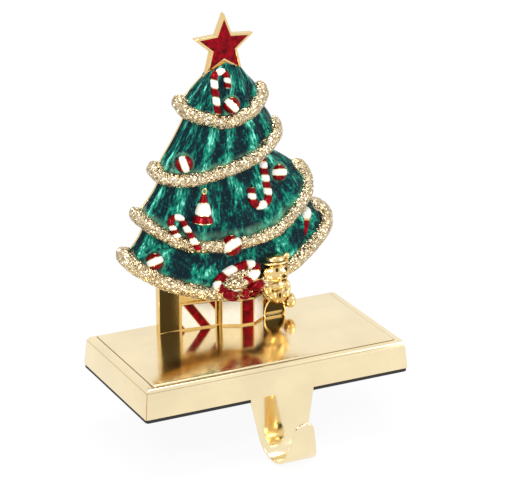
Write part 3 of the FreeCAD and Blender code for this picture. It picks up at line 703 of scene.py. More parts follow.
def stations(garland, setback=0.0):
    """The garland's centre line at its stations."""
    return [Vector((*oval(garland, angle, setback), height))
            for angle, height in zip(STATIONS, garland["heights"])]


def fold_at(tier, across, down):
    """How deep the folds lie at a place of a tier, from -1 in a hollow to 1 on a crest."""
    drift = 0.03 * noise.noise(Vector((across * 5, down * 1.5, tier["top"])))
    main = math.sin(math.tau * FOLDS * (across + drift))
    fine = math.sin(math.tau * (2.7 * FOLDS) * (across - 2 * drift) + 2.0 * down + tier["x"])
    return main, fine


def star_floor(x):
    """Height of the star's underside at a place across, from its notch to its lower points."""
    foot = math.radians(54)
    reach = min(1.0, abs(x) / (STAR_RADIUS * math.cos(foot)))
    notch = STAR_CENTRE - STAR_RADIUS * STAR_RATIO
    return notch + (STAR_CENTRE - STAR_RADIUS * math.sin(foot) - notch) * reach


def tier_grid(index, columns, rows, forward):
    """Points, flow coordinates and crests of one tier's front."""
    tier = TIERS[index]
    figure = settings("figure")
    hem_points = stations(GARLANDS[index], HEM_SETBACK)
    steps = columns // (len(hem_points) - 1)
    hem = curve(hem_points, steps)
    columns = len(hem)
    points, flow, crests = [], [], []
    for row in range(rows):
        for column in range(columns):
            across = column / (columns - 1)
            angle = EDGE_ANGLE * (2 * across - 1)
            x, y = oval(tier, angle)
            side = math.sin(math.radians(angle))
            height = tier["top"] - tier["drop"] * side * side
            first = 0.0
            if index == 0:
                while height + (hem[column].z - height) * first > star_floor(x):
                    first += 0.01
            down = first + (1 - first) * row / (rows - 1)
            bulge = tier["right"] * side if side > 0 else tier["left"] * side
            bulge *= abs(side) * math.sin(math.pi * down)
            main, fine = fold_at(tier, across, down)
            face_on = math.cos(math.radians(angle))
            fold = figure.fold * down * main * face_on + FINE_FOLD * fine * down * face_on
            grown = noise.noise(Vector((across * 14, down * 3, index * 7.0)))
            fold += UNEVEN * grown * face_on
            point = Vector((x, y, height)) * (1 - down) + hem[column] * down
            points.append(point + Vector((bulge, fold - forward, 0)))
            flow.append((across + index, down))
            # Colour mark, lower in the folds' hollows: deeper enamel there, and painted shade
            crests.append(0.42 - 0.2 * main - 0.06 * fine + 0.3 * grown)
    return points, flow, crests, columns


def tier_surface(index):
    """Search tree of one tier's metal front, in millimetres."""
    points, _, _, columns = tier_grid(index, *SEAT_STEPS, 0.0)
    return BVHTree.FromPolygons(points, grid_faces(SEAT_STEPS[1], columns))


def seat(tier, place, proud=0.0):
    """Point of a tier's front at a place (x, z), moved forward by proud."""
    tree = tier_surface(tier - 1)
    hit = tree.ray_cast(Vector((place[0], -200.0, place[1])), Vector((0, 1, 0)))[0]
    if hit is None:
        hit = tree.find_nearest(Vector((place[0], 14.0, place[1])))[0]
    return Vector((place[0], hit.y - proud, place[1]))


def rounded_loop(half_x, half_y, radius, height, dent=0.0):
    """Closed rectangle with round corners, each with a thin groove where the sheet meets."""
    made = []
    for corner, (right, behind) in enumerate(((1, 1), (-1, 1), (-1, -1), (1, -1))):
        middle = Vector((right * (half_x - radius), behind * (half_y - radius), height))
        start = corner * math.pi / 2
        for angle in CORNER_TURNS:
            turn = start + math.radians(angle)
            reach = radius - (dent if SEAM_TURNS[0] < angle < SEAM_TURNS[1] else 0.0)
            made.append(middle + Vector((math.cos(turn), math.sin(turn), 0)) * reach)
    return made


# Operators

class HOLDER_OT_base(bpy.types.Operator):
    """Pressed base shell with its raised panel, edges and corner seams"""
    bl_idname = "holder.base"
    bl_label = "Base shell"

    def execute(self, context):
        base = settings("base")
        half_x = SHELL_HIGH.x
        half_y = SHELL_HIGH.y
        rim = PAD_HIGH.z + RIM_RAISED
        roof = SHELL_HIGH.z - PANEL_STEP

        def inset(height):
            return base.draft * (height - rim) / (roof - rim)

        outer = [rounded_loop(half_x, half_y, CORNER_RADIUS, rim, SEAM_DEPTH)]
        for share in (0.3, 0.6, 1.0):
            height = rim + (roof - base.edge - rim) * share
            lean = inset(height)
            outer.append(rounded_loop(half_x - lean, half_y - lean, CORNER_RADIUS, height, SEAM_DEPTH))
        lean = inset(roof)
        for index in range(1, 11):
            turn = math.pi / 2 * index / 10
            inward = lean + base.edge * (1 - math.cos(turn)) * 0.97
            height = roof - base.edge * (1 - math.sin(turn))
            dent = SEAM_DEPTH * max(0.0, 1 - index / 4)
            outer.append(rounded_loop(half_x - inward, half_y - inward, CORNER_RADIUS + index * 0.08,
                                      height, dent))
        x = half_x - base.border_x
        y = half_y - base.border_y
        for grow, rise in BORDER:
            outer.append(rounded_loop(x + grow, y + grow, 1.0, roof + rise))
        inner = [rounded_loop(half_x - base.sheet, half_y - base.sheet, 0.5, rim)]
        lean = inset(roof) + base.sheet
        inner.append(rounded_loop(half_x - lean, half_y - lean, 0.5, roof - base.sheet))
        shell = Solid()
        rings = inner[::-1] + outer
        shell.rings(rings)
        # Painted shade: dark lines in the groove before the panel's step and at the lower end of the top
        # edge's rounding, for the shade and dark reflection there
        groove = len(rings) - len(BORDER) + 1
        line_shades = {groove: 1.0, groove + 1: 1.0, 6: 0.5}
        painted_shades = [line_shades.get(index, 0.0) for index, ring in enumerate(rings) for _ in ring]
        piece("base_shell_body", shell.points, shell.faces, "pale gold", ["base_shell"], 35.0,
              marks={"crease": painted_shades})
        return {"FINISHED"}


class HOLDER_OT_hook(bpy.types.Operator):
    """Tapered J hook that runs down from the front of the shell"""
    bl_idname = "holder.hook"
    bl_label = "Hook"

    def execute(self, context):
        base = settings("base")
        rim = PAD_HIGH.z
        lean = math.atan(base.draft / (SHELL_HIGH.z - PANEL_STEP - rim))
        turn_end = math.pi - math.radians(base.hook_lean)
        start = Vector((0, -SHELL_HIGH.y + base.sheet / 2, rim))
        down = Vector((0, -math.sin(lean), -math.cos(lean)))
        knee = start + down * base.hook_drop

        def inward_at(heading):
            return Vector((0, -math.cos(heading), math.sin(heading)))

        centre = knee + inward_at(lean) * base.hook_bend
        bend_length = base.hook_bend * (turn_end - lean)
        total = base.hook_drop + bend_length + base.hook_lip
        stops = [HOOK_ROOT] + [base.hook_drop * share / 6 for share in range(6)]
        stops += [base.hook_drop + bend_length * share / 28 for share in range(29)]
        lip = base.hook_drop + bend_length
        stops += [lip + (base.hook_lip - base.hook_round) * share / 4 for share in range(1, 4)]
        stops += [total - base.hook_round * math.cos(math.pi / 2 * share / 9) for share in range(10)]
        rings = []
        for s in stops:
            if s <= base.hook_drop:
                heading = lean
                point = start + down * s
            elif s <= lip:
                heading = lean + (s - base.hook_drop) / base.hook_bend
                point = centre - inward_at(heading) * base.hook_bend
            else:
                heading = turn_end
                point = centre - inward_at(heading) * base.hook_bend
                point += Vector((0, -math.sin(heading), -math.cos(heading))) * (s - lip)
            inward = inward_at(heading)
            half = base.hook_half - base.hook_taper * s
            over = s - (total - base.hook_round)
            if over > 0:
                gone = base.hook_round - math.sqrt(max(0.0, base.hook_round ** 2 - over ** 2))
                half = max(0.4, half - gone)
            thin = min(HOOK_EDGE, half / 2)
            ring = []
            for side, depth in ((-half, -0.5), (-half, 0.5), (half, 0.5), (half, -0.5)):
                toward = base.sheet * depth
                sign = 1 if side > 0 else -1
                rounded = math.copysign(base.sheet / 2 - HOOK_EDGE, depth)
                corner = [(side, rounded),
                          (side - sign * thin * 0.3, rounded + math.copysign(HOOK_EDGE * 0.7, depth)),
                          (side - sign * thin, toward)]
                ring += corner if (side < 0) == (depth > 0) else corner[::-1]
            rings.append([point + Vector((base.hook_shift + x, 0, 0)) + inward * d for x, d in ring])
        hook = Solid()
        hook.rings(rings)
        hook.piece("base_hook", "pale gold", ["base_shell"], 50.0)
        return {"FINISHED"}


class HOLDER_OT_inside(bpy.types.Operator):
    """The pad, and the finishes of the weight, the screws and the washers"""
    bl_idname = "holder.inside"
    bl_label = "Pad and inner pieces"

    def execute(self, context):
        pad = Solid()
        rings = []
        for shrink, height in PAD_EDGE:
            rings.append(rounded_loop(SHELL_HIGH.x - shrink, SHELL_HIGH.y - shrink, 1.5, height))
        pad.rings(rings)
        pad.piece("pad", "pad rubber", ["base_pad"])
        for name, finish_name in (("ballast", "weight iron"), ("figure_screws", "screw steel"),
                                  ("figure_washers", "screw steel")):
            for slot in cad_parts[name].material_slots:
                slot.material = finish(finish_name)
        return {"FINISHED"}


class HOLDER_OT_casting(bpy.types.Operator):
    """Metal behind the tiers, with the flat back, the side panel, the gifts' blocks and sheets of
    painted shade in the recesses
    """
    bl_idname = "holder.casting"
    bl_label = "Casting"

    def execute(self, context):
        back = settings("figure").back
        rows = METAL_STEPS[1]
        for index in range(4):
            points, _, _, columns = tier_grid(index, METAL_STEPS[0], rows, 0.0)
            depth = back - TIER_SETBACK * (index + 1)
            flat = [Vector((point.x, depth, point.z)) for point in points]
            solid = Solid()
            solid.add(points + flat, sheet_faces(rows, columns))
            solid.piece("casting_tier_%d" % (index + 1), "rich gold", ["tree_casting"])
        low = SHELL_HIGH.z
        (left, left_front), (right, right_front) = STRIPED_GIFT
        ribbon_left = RIBBON_GIFT[0][0]
        recess = 1.2
        panel_line = ((PANEL_LEFT, PANEL_FRONT), (PANEL_LEFT + 0.6, PANEL_FRONT - 0.5),
                      (-31.0, PANEL_FRONT - 0.1), (PANEL_RIGHT, PANEL_FRONT - 0.6))
        gift_back = ((left, left_front + recess), (right, right_front + recess))
        groove = ((right - 0.2, GROOVE_FRONT), (ribbon_left + 0.2, GROOVE_FRONT))
        trunk = ((ribbon_left, back - TRUNK_DEPTH), (TRUNK_RIGHT, back - TRUNK_DEPTH))
        blocks = Solid()
        # Front line, top and setback behind of each block
        for line, high, setback in ((panel_line, FOOT_TOP, 0.3), (STRIPED_GIFT, low + GIFT_HEIGHT, 0.4),
                                    (gift_back, low + GIFT_HEIGHT + 9, 0.5),
                                    (groove, low + GIFT_HEIGHT + 6, 0.6),
                                    (RIBBON_GIFT, low + GIFT_HEIGHT, 0.7), (trunk, FOOT_TOP, 0.35)):
            outline = [*line, (line[-1][0], back - setback), (line[0][0], back - setback)]
            blocks.rings([[Vector((x, y, height)) for x, y in outline] for height in (low, high)])
        blocks.piece("casting_foot", "rich gold", ["tree_casting"], 30.0)
        shadows = Solid()
        # Left, right, front and height of the dark sheets of painted shade in the two recesses
        for a, b, front, high in ((PANEL_LEFT + 0.5, PANEL_RIGHT - 0.3, PANEL_FRONT - 0.75, 24.0),
                                  (right + 0.4, ribbon_left - 0.5, GROOVE_FRONT - 0.12, 18.0)):
            rings = []
            for edge, y in ((0.0, front + 0.3), (0.0, front + 0.1), (0.3, front)):
                corners = ((a + edge, 0.3 + edge), (b - edge, 0.3 + edge),
                           (b - edge, high), (a + edge, high))
                rings.append([Vector((x, y, low + height)) for x, height in corners])
            shadows.rings(rings)
        shadows.piece("casting_shadows", "dark gold", ["tree_casting"], 30.0)
        return {"FINISHED"}


class HOLDER_OT_garlands(bpy.types.Operator):
    """Four fat ropes of grained gold"""
    bl_idname = "holder.garlands"
    bl_label = "Garlands"

    def execute(self, context):
        figure = settings("figure")
        for index, garland in enumerate(GARLANDS):
            edge_y = figure.back - 0.5 * figure.rope
            left = [Vector((x, edge_y, z)) for x, z in garland["left"]]
            right = [Vector((x, edge_y, z)) for x, z in garland["right"]]
            path = curve(left + stations(garland) + right, ROPE_STEPS[index])
            swell, width = ROPES[index]
            rings = []
            last = len(path) - 1
            for place, (point, (_, aside, across)) in enumerate(zip(path, frames(path))):
                share = place / last
                radius = figure.rope * (width + swell * math.exp(-(share / SWELL_REACH) ** 2))
                end = min(place, last - place) * (path[1] - path[0]).length
                if end < radius:
                    radius *= rounding(end / radius, least=0.03)
                ring = []
                for spot in circle(point, aside, across, radius, GARLAND_SIDES):
                    out = (spot - point).normalized()
                    broad, small, grit = [spot * often for _, often in LUMPS]
                    rise = noise.noise(broad + Vector((0, 0, index * 9.0))) * LUMPS[0][0]
                    rise += noise.noise(small) * LUMPS[1][0]
                    rise += noise.cell(grit) * LUMPS[2][0]
                    spot = spot + out * rise
                    spot.y = min(spot.y, figure.back - GARLAND_SETBACK)
                    ring.append(spot)
                rings.append(ring)
            rope = Solid()
            rope.rings(rings)
            rope.piece("garland_%d" % (index + 1), "glitter gold", ["tree_casting"], 60.0)
        return {"FINISHED"}


class HOLDER_OT_tiers(bpy.types.Operator):
    """Green enamel of the four tiers, pooled against the garlands, with a painted highlight where it
    pools
    """
    bl_idname = "holder.tiers"
    bl_label = "Green tiers"

    def execute(self, context):
        skin = settings("figure").skin
        rows = ENAMEL_STEPS[1]
        for index in range(4):
            points, flow, crests, columns = tier_grid(index, ENAMEL_STEPS[0], rows, skin)
            pool_highlights = []
            for row in range(rows):
                down = row / (rows - 1)
                edge = max(0.0, 1 - abs(down - POOL_HEM) / POOL_HEM_WIDTH)
                for column in range(columns):
                    point = points[row * columns + column]
                    near = edge
                    for ball in BALLS:
                        if ball["tier"] in (index + 1, index):
                            gap = math.dist((point.x, point.z), ball["place"]) - ball["radius"]
                            near = max(near, 1 - abs(gap - POOL_RING) / POOL_RING_WIDTH)
                    # Painted highlight: pale green mixed in where the enamel pools
                    pool_highlights.append(POOL_HIGHLIGHT * near * (0.6 + 0.8 * noise.noise(point * 0.3)))
                    point.y -= POOL_RISE * near * near
            inner = [point + Vector((0, skin * 0.9, 0)) for point in points]
            piece("enamel_tier_%d" % (index + 1), points + inner, sheet_faces(rows, columns),
                  "green enamel", ["tier_enamel_%d" % (index + 1)], 50.0, flow * 2,
                  {"crest": crests * 2, "pool": pool_highlights * 2})
        return {"FINISHED"}


class HOLDER_OT_star(bpy.types.Operator):
    """Star with a golden rim and a domed red field"""
    bl_idname = "holder.star"
    bl_label = "Star"

    def execute(self, context):
        back = settings("figure").back
        radius = STAR_RADIUS
        centre = Vector((0, 0, STAR_CENTRE))
        front = back - STAR_THICKNESS

        def outline(reach, y):
            made = []
            for index in range(10):
                turn = math.radians(90 + 36 * index)
                size = reach if index % 2 == 0 else reach * STAR_RATIO
                made.append(centre + Vector((size * math.cos(turn), y, size * math.sin(turn))))
            return made

        field = radius - STAR_RIM / math.sin(math.radians(STAR_TIP))
        plate = Solid()
        plate.rings([outline(reach, y) for reach, y in (
            (field, back - 0.8), (field, front + 0.9), (field, front + 0.15), (field + 0.3, front),
            (radius - 0.5, front), (radius, front + 0.25), (radius, back))])
        plate.piece("star_plate", "rich gold", ["tree_casting"], 30.0)
        dome = Solid()
        dome.rings([outline(field * share, front + depth) for share, depth in (
            (1.0, 0.9), (1.0, 0.35), (0.93, 0.12), (0.8, 0.05), (0.3, 0.02))])
        dome.piece("star_field", "red enamel", ["star_enamel"], 60.0)
        ribs = Solid()
        rib_end = STAR_THICKNESS - 0.7
        profile = ((0, 0.12), (0.2, RIB_RADIUS), (rib_end - 0.2, RIB_RADIUS), (rib_end, 0.12))
        for index in range(10):
            a = outline(radius, 0)[index]
            b = outline(radius, 0)[(index + 1) % 10]
            along = b - a
            out = Vector((along.z, 0, -along.x)).normalized()
            if out.dot(a + along * 0.5 - centre) < 0:
                out = -out
            if out.z > STAR_UPWARD:
                continue
            for rib in range(1, STAR_RIBS):
                spot = a + along * (rib / STAR_RIBS) - out * 0.08
                spot.y = front + 0.45
                ribs.rings(lathe(spot, Vector((0, 1, 0)), profile, 6))
        ribs.piece("star_ribs", "rich gold", ["tree_casting"], 30.0)
        return {"FINISHED"}


def viewing():
    """Direction from the holder towards the viewer."""
    stage = settings("stage")
    azimuth = math.radians(stage.azimuth)
    elevation = math.radians(stage.elevation)
    return Vector((math.sin(azimuth) * math.cos(elevation), -math.cos(azimuth) * math.cos(elevation),
                   math.sin(elevation)))


def ornament(name, nodes, gold, red, white):
    """Three pieces of an ornament: its golden core and its red and white enamel."""
    gold.piece(name + "_core", "rich gold", ["tree_casting"])
    red.piece(name + "_red", "red enamel", [nodes + "_enamel_red"])
    white.piece(name + "_white", "white enamel", [nodes + "_enamel_white"])


def zone(centre, axis, radius, core, low, high, steps=44):
    """Pillowed belt of a ball between two latitudes in degrees."""
    rings = []
    count = 12
    for index in range(count + 1):
        share = index / count
        latitude = math.radians(low + (high - low) * share)
        edge = min(share, 1 - share) * (high - low)
        at_pole = (low <= -89 and share < 0.5) or (high >= 89 and share > 0.5)
        edge = 1.0 if at_pole else min(1.0, edge / BALL_SOFT)
        reach = core + (radius - core) * rounding(edge)
        rings.append((reach * math.sin(latitude), reach * math.cos(latitude)))
    return lathe(centre, axis, rings, steps)


class HOLDER_OT_balls(bpy.types.Operator):
    """Round ornaments with two red caps, a white band and gold lines between"""
    bl_idname = "holder.balls"
    bl_label = "Round ornaments"

    def execute(self, context):
        skin = settings("figure").skin
        for index, ball in enumerate(BALLS):
            centre = seat(ball["tier"], ball["place"], ball["proud"])
            tilt = math.radians(ball["tilt"])
            toward = viewing()
            axis = Vector((math.cos(tilt), 0, math.sin(tilt)))
            axis = (axis - toward * axis.dot(toward)).normalized()
            radius = ball["radius"]
            core = radius - BALL_CORE * skin
            limit = math.degrees(math.asin(BALL_BAND))
            gap = BALL_GAP
            gold, red, white = Solid(), Solid(), Solid()
            turns = [math.radians(degrees) for degrees in range(-90, 91, 10)]
            gold.rings(lathe(centre, axis, [(core * math.sin(a), core * math.cos(a)) for a in turns]))
            gold.rings(lathe(centre, Vector((0, 0, 1)), ((radius * 0.9, 0.9), (radius + 0.35, 0.85),
                                                         (radius + 0.5, 0.5)), 16))
            red.rings(zone(centre, axis, radius, core - 0.1, limit + gap, 90))
            red.rings(zone(centre, axis, radius, core - 0.1, -90, -limit - gap))
            white.rings(zone(centre, axis, radius + 0.1, core - 0.1, -limit + 1, limit - 1))
            ornament("ball_%d" % (index + 1), "ball", gold, red, white)
        return {"FINISHED"}


def striped_tube(path, sides, radius, counts, red, white, gold, hint, closed=False, slant=0.5):
    """Round tube with pillowed red and white lengths over a gold core."""
    along = [0.0]
    for a, b in zip(path, path[1:]):
        along.append(along[-1] + (b - a).length)
    total = along[-1]
    spans = frames(path, hint, closed)

    def spot(s):
        s = s % total if closed else min(max(s, 0.0), total)
        index = next((i for i in range(1, len(along)) if along[i] >= s), len(along) - 1)
        share = (s - along[index - 1]) / max(1e-6, along[index] - along[index - 1])
        point = path[index - 1].lerp(path[index], share)
        aside = spans[index - 1][1].lerp(spans[index][1], share).normalized()
        across = spans[index - 1][2].lerp(spans[index][2], share).normalized()
        return point, aside, across

    core = [circle(*spot(total * i / 40), radius * TUBE_CORE, 16) for i in range(41)]
    gold.rings(core)
    ends = [0.0]
    for count in counts:
        ends.append(ends[-1] + count)
    scale = total / ends[-1]
    for index in range(len(counts)):
        start, end = ends[index] * scale, ends[index + 1] * scale
        rings = []
        steps = 9
        for step in range(steps + 1):
            share = step / steps
            edge = min(share, 1 - share) * (end - start)
            reach = radius * (TUBE_LOW + 0.2 * rounding(min(1.0, edge / TUBE_SOFT)))
            ring = []
            for turn_step in range(sides):
                turn = math.tau * turn_step / sides
                s = start + TUBE_GAP + (end - start - 2 * TUBE_GAP) * share + slant * math.sin(turn)
                point, aside, across = spot(s)
                ring.append(point + (aside * math.cos(turn) + across * math.sin(turn)) * reach)
            rings.append(ring)
        (white if index % 2 else red).rings(rings)


class HOLDER_OT_canes(bpy.types.Operator):
    """Three striped candy canes"""
    bl_idname = "holder.canes"
    bl_label = "Candy canes"

    def execute(self, context):
        for index, cane in enumerate(CANES):
            foot = seat(cane["tier"], cane["foot"], cane["proud"][0])
            knee = seat(cane["tier"], cane["knee"], cane["proud"][1])
            upward = (knee - foot).normalized()
            aside = (Vector((1, 0, 0)) - upward * upward.x).normalized() * cane["side"]
            centre = knee + aside * cane["crook"]
            path = [foot.lerp(knee, share / 24) for share in range(24)]
            for share in range(25):
                turn = math.pi * share / 24
                path.append(centre - aside * math.cos(turn) * cane["crook"]
                            + upward * math.sin(turn) * cane["crook"])
            tip = centre + aside * cane["crook"]
            path += [tip - upward * cane["arm"] * share / 10 for share in range(1, 11)]
            leg_count, crook_count, arm_count = cane["stripes"]
            leg = (knee - foot).length / leg_count
            crook = math.pi * cane["crook"] / crook_count
            arm = cane["arm"] / arm_count
            counts = [leg] * leg_count + [crook] * crook_count + [arm] * arm_count
            red, white, gold = Solid(), Solid(), Solid()
            striped_tube(path, 20, cane["radius"], counts, red, white, gold, Vector((0, 1, 0)))
            ornament("cane_%d" % (index + 1), "cane", gold, red, white)
        return {"FINISHED"}


def pillow(start, end, swell=0.25, count=8):
    """Turned profile between two (along, radius) ends that swells a little and has soft edges."""
    made = []
    for index in range(count + 1):
        share = index / count
        along = start[0] + (end[0] - start[0]) * share
        radius = start[1] + (end[1] - start[1]) * share
        edge = min(share, 1 - share) * 2
        made.append((along, radius - swell + swell * rounding(edge, 4)))
    return made


class HOLDER_OT_bell(bpy.types.Operator):
    """Bell with a white belt and the drop ornament at the right"""
    bl_idname = "holder.bell"
    bl_label = "Bell and drop"

    def execute(self, context):
        steps = BELL["steps"]
        proud = BELL["proud"]
        top = seat(BELL["tier"], BELL["place"], proud)
        low = seat(BELL["tier"], (BELL["place"][0], BELL["place"][1] - steps[-1][0]), proud)
        low.x -= BELL_LEAN
        down = (low - top).normalized()
        red, white, gold = Solid(), Solid(), Solid()
        spans = list(zip(steps, steps[1:]))
        for solid, (a, b) in zip((red, white, red), spans):
            wider = 0.5 if solid is white else 0.1
            belt = pillow((a[0] + 0.15, a[1] + wider), (b[0] - 0.15, b[1] + wider), 0.5)
            solid.rings(lathe(top, down, belt))
        gold.rings(lathe(top, down, [(along, radius - 0.3) for along, radius in steps]))
        gold.rings(lathe(low, down, pillow((-0.9, 1.2), (1.5, 0.6), 0.3), 16))
        loop = [top - down * 1.0 + Vector((1.1 * math.cos(a), 0, 1.3 * math.sin(a)))
                for a in [math.tau * i / 20 for i in range(20)]]
        rings = [circle(p, s, c, 0.42, 8) for p, (_, s, c) in zip(loop, frames(loop, closed=True))]
        gold.rings(rings + rings[:1], False)
        ornament("bell", "bell", gold, red, white)

        top = seat(DROP["tier"], DROP["place"])
        low = seat(DROP["tier"], (DROP["place"][0] - 2.0, DROP["place"][1] - 2 * DROP["egg"] - 6.0))
        down = (low - top).normalized()
        egg = DROP["egg"]
        profile = []
        for a in range(-90, 91, 12):
            turn = math.radians(a)
            stretch = 1.12 if a < 0 else 1.0
            profile.append((egg + egg * stretch * math.sin(turn), egg * 0.93 * math.cos(turn)))
        white, red, gold = Solid(), Solid(), Solid()
        white.rings(lathe(top, down, profile))
        start = 1.85 * egg
        red.rings(lathe(top, down, pillow((start, DROP["cone_top"] + 0.2),
                                          (start + DROP["cone_length"], DROP["cone_tip"]), 0.4, 12)))
        gold.rings(lathe(top, down, ((start - 0.3, 2.5), (start, 2.75), (start + 0.35, 2.5)), 24))
        gold.rings(lathe(top + Vector((-2.0, 1.2, 0)), down, pillow((0.0, 1.6), (9.0, 2.2), 0.5), 20))
        ornament("drop", "drop", gold, red, white)
        return {"FINISHED"}


class HOLDER_OT_wreath(bpy.types.Operator):
    """Candy-striped ring with a grained middle"""
    bl_idname = "holder.wreath"
    bl_label = "Wreath"

    def execute(self, context):
        bead_steps = 12
        steps = bead_steps * WREATH_BEADS
        first = WREATH_FIRST + 180.0 / WREATH_BEADS

        def spot(share, reach=1.0):
            turn = math.radians(first - 360.0 * share)
            out = WREATH_ACROSS * math.cos(turn) + WREATH_ALONG * math.sin(turn)
            return WREATH_CENTRE + out * reach

        path = [spot(step / steps) for step in range(steps + 1)]
        lengths = []
        for bead in range(WREATH_BEADS):
            part = path[bead_steps * bead:bead_steps * (bead + 1) + 1]
            lengths.append(sum((b - a).length for a, b in zip(part, part[1:])))
        axis = WREATH_ACROSS.cross(WREATH_ALONG).normalized()
        white, red, gold = Solid(), Solid(), Solid()
        striped_tube(path, 22, WREATH_BEAD, lengths, white, red, gold, axis, slant=0.5)
        ornament("wreath", "wreath", gold, red, white)
        middle = Solid()
        rings = []
        for index in range(14):
            share = index / 13
            rise = axis * MIDDLE_RISE * (1 - share ** 2)
            ring = [spot(step / 60, max(0.01, MIDDLE_REACH * share)) + rise for step in range(60)]
            depth, often = MIDDLE_LUMPS
            rings.append([p + axis * depth * noise.noise(p * often) for p in ring])
        middle.rings(rings)
        lumps = Vector((0, -0.6, 0.5))
        spill = [[p + lumps * noise.noise(p * SPILL_LUMPS) for p in ring]
                 for ring in ellipsoid(*SPILL)]
        middle.rings(spill)
        middle.piece("wreath_middle", "glitter gold", ["tree_casting"], 60.0)
        return {"FINISHED"}


def ellipsoid(centre, sizes, rows=18, columns=28, dent=None):
    """Rings of a stretched ball, optionally reshaped point by point."""
    rings = []
    for row in range(rows + 1):
        latitude = math.pi * (row / rows - 0.5)
        reach = max(0.02, math.cos(latitude))
        ring = []
        for column in range(columns):
            turn = math.tau * column / columns
            p = Vector((reach * math.cos(turn), reach * math.sin(turn), math.sin(latitude)))
            if dent:
                p = dent(p)
            ring.append(Vector(centre) + Vector((p.x * sizes[0], p.y * sizes[1], p.z * sizes[2])))
        rings.append(ring)
    return rings


class HOLDER_OT_bow(bpy.types.Operator):
    """Red bow with two loops, a knot and short tails"""
    bl_idname = "holder.bow"
    bl_label = "Bow"

    def execute(self, context):
        bow, edging = Solid(), Solid()

        def creased(sign):
            def dent(p):
                pinch = 0.45 + 0.55 * min(1.0, max(0.0, (p.x * sign + 1) / 1.1))
                fold = 1 - 0.16 * math.exp(-((p.z * 3) ** 2)) * (p.y < 0)
                return Vector((p.x, p.y * pinch * fold, p.z * pinch))
            return dent

        for centre, sizes, side, lean in BOW_PARTS:
            middle = Vector(centre)
            turn = Matrix.Rotation(lean, 3, "Y")
            for solid, grow, push in ((bow, 0.0, 0.0), (edging, 0.4, 1.3)):
                rings = ellipsoid(centre, [size + grow for size in sizes],
                                  dent=creased(side) if side else None)
                for ring in rings:
                    ring[:] = [middle + turn @ (p - middle) + Vector((0, push, 0)) for p in ring]
                solid.rings(rings)
        bow.piece("bow", "red enamel", ["bow_enamel"])
        edging.piece("bow_edging", "rich gold", ["tree_casting"])
        return {"FINISHED"}


def clip(polygon, side, limit, keep_above):
    """Part of a flat polygon of (u, v) points beyond a limit."""
    made = []
    for a, b in zip(polygon, polygon[1:] + polygon[:1]):
        inside_a = (a[side] >= limit) == keep_above
        inside_b = (b[side] >= limit) == keep_above
        if inside_a:
            made.append(a)
        if inside_a != inside_b:
            share = (limit - a[side]) / (b[side] - a[side])
            made.append(tuple(a[i] + (b[i] - a[i]) * share for i in (0, 1)))
    return made


def tile(solid, start, end, polygon, proud=0.55, edge=0.35):
    """Pillowed field on a gift's front from a polygon of (along, height) in millimetres."""
    base = Vector((start[0], start[1], SHELL_HIGH.z))
    along = Vector((end[0] - start[0], end[1] - start[1], 0)).normalized()
    out = Vector((along.y, -along.x, 0))
    middle = [sum(p[i] for p in polygon) / len(polygon) for i in (0, 1)]

    def loop(shrink, forward):
        made = []
        for u, v in polygon:
            reach = math.hypot(u - middle[0], v - middle[1])
            keep = max(0.0, 1 - shrink / max(reach, 0.01))
            made.append(base + along * (middle[0] + (u - middle[0]) * keep)
                        + Vector((0, 0, middle[1] + (v - middle[1]) * keep)) + out * forward)
        return made

    solid.rings([loop(0, -0.2), loop(0, proud * 0.55), loop(edge * 0.5, proud * 0.9),
                 loop(edge * 1.6, proud)])


class HOLDER_OT_gifts(bpy.types.Operator):
    """Enamel fields of the striped gift and the gift with the ribbon"""
    bl_idname = "holder.gifts"
    bl_label = "Gifts"

    def execute(self, context):
        start, end = STRIPED_GIFT
        width = math.dist(start, end)
        low = GIFT_RIM
        high = GIFT_HEIGHT - GIFT_RIM
        gap = 0.22
        red, white = Solid(), Solid()
        for index in range(-1, 2):
            left = (STRIPE_START + (STRIPE_RED + STRIPE_WHITE) * index) * width
            for solid, offset, share in ((red, 0.0, STRIPE_RED), (white, STRIPE_RED, STRIPE_WHITE)):
                a = left + offset * width + gap
                b = left + (offset + share) * width - gap
                lean = STRIPE_LEAN * width
                polygon = [(a, low), (b, low), (b + lean, high), (a + lean, high)]
                polygon = clip(polygon, 0, GIFT_RIM, True)
                polygon = clip(polygon, 0, width - GIFT_RIM, False) if len(polygon) > 2 else []
                if len(polygon) > 2:
                    tile(solid, start, end, polygon)
        corners = RIBBON_GIFT
        for solid, a, b in ((white, 0, 1), (red, 1, 2), (white, 2, 3)):
            width = math.dist(corners[a], corners[b])
            margin = 0.45
            tile(solid, corners[a], corners[b],
                 [(margin, low), (width - margin, low), (width - margin, high), (margin, high)])
        red.piece("gift_red", "red enamel", ["gift_enamel_red"])
        white.piece("gift_white", "white enamel", ["gift_enamel_white"])
        return {"FINISHED"}


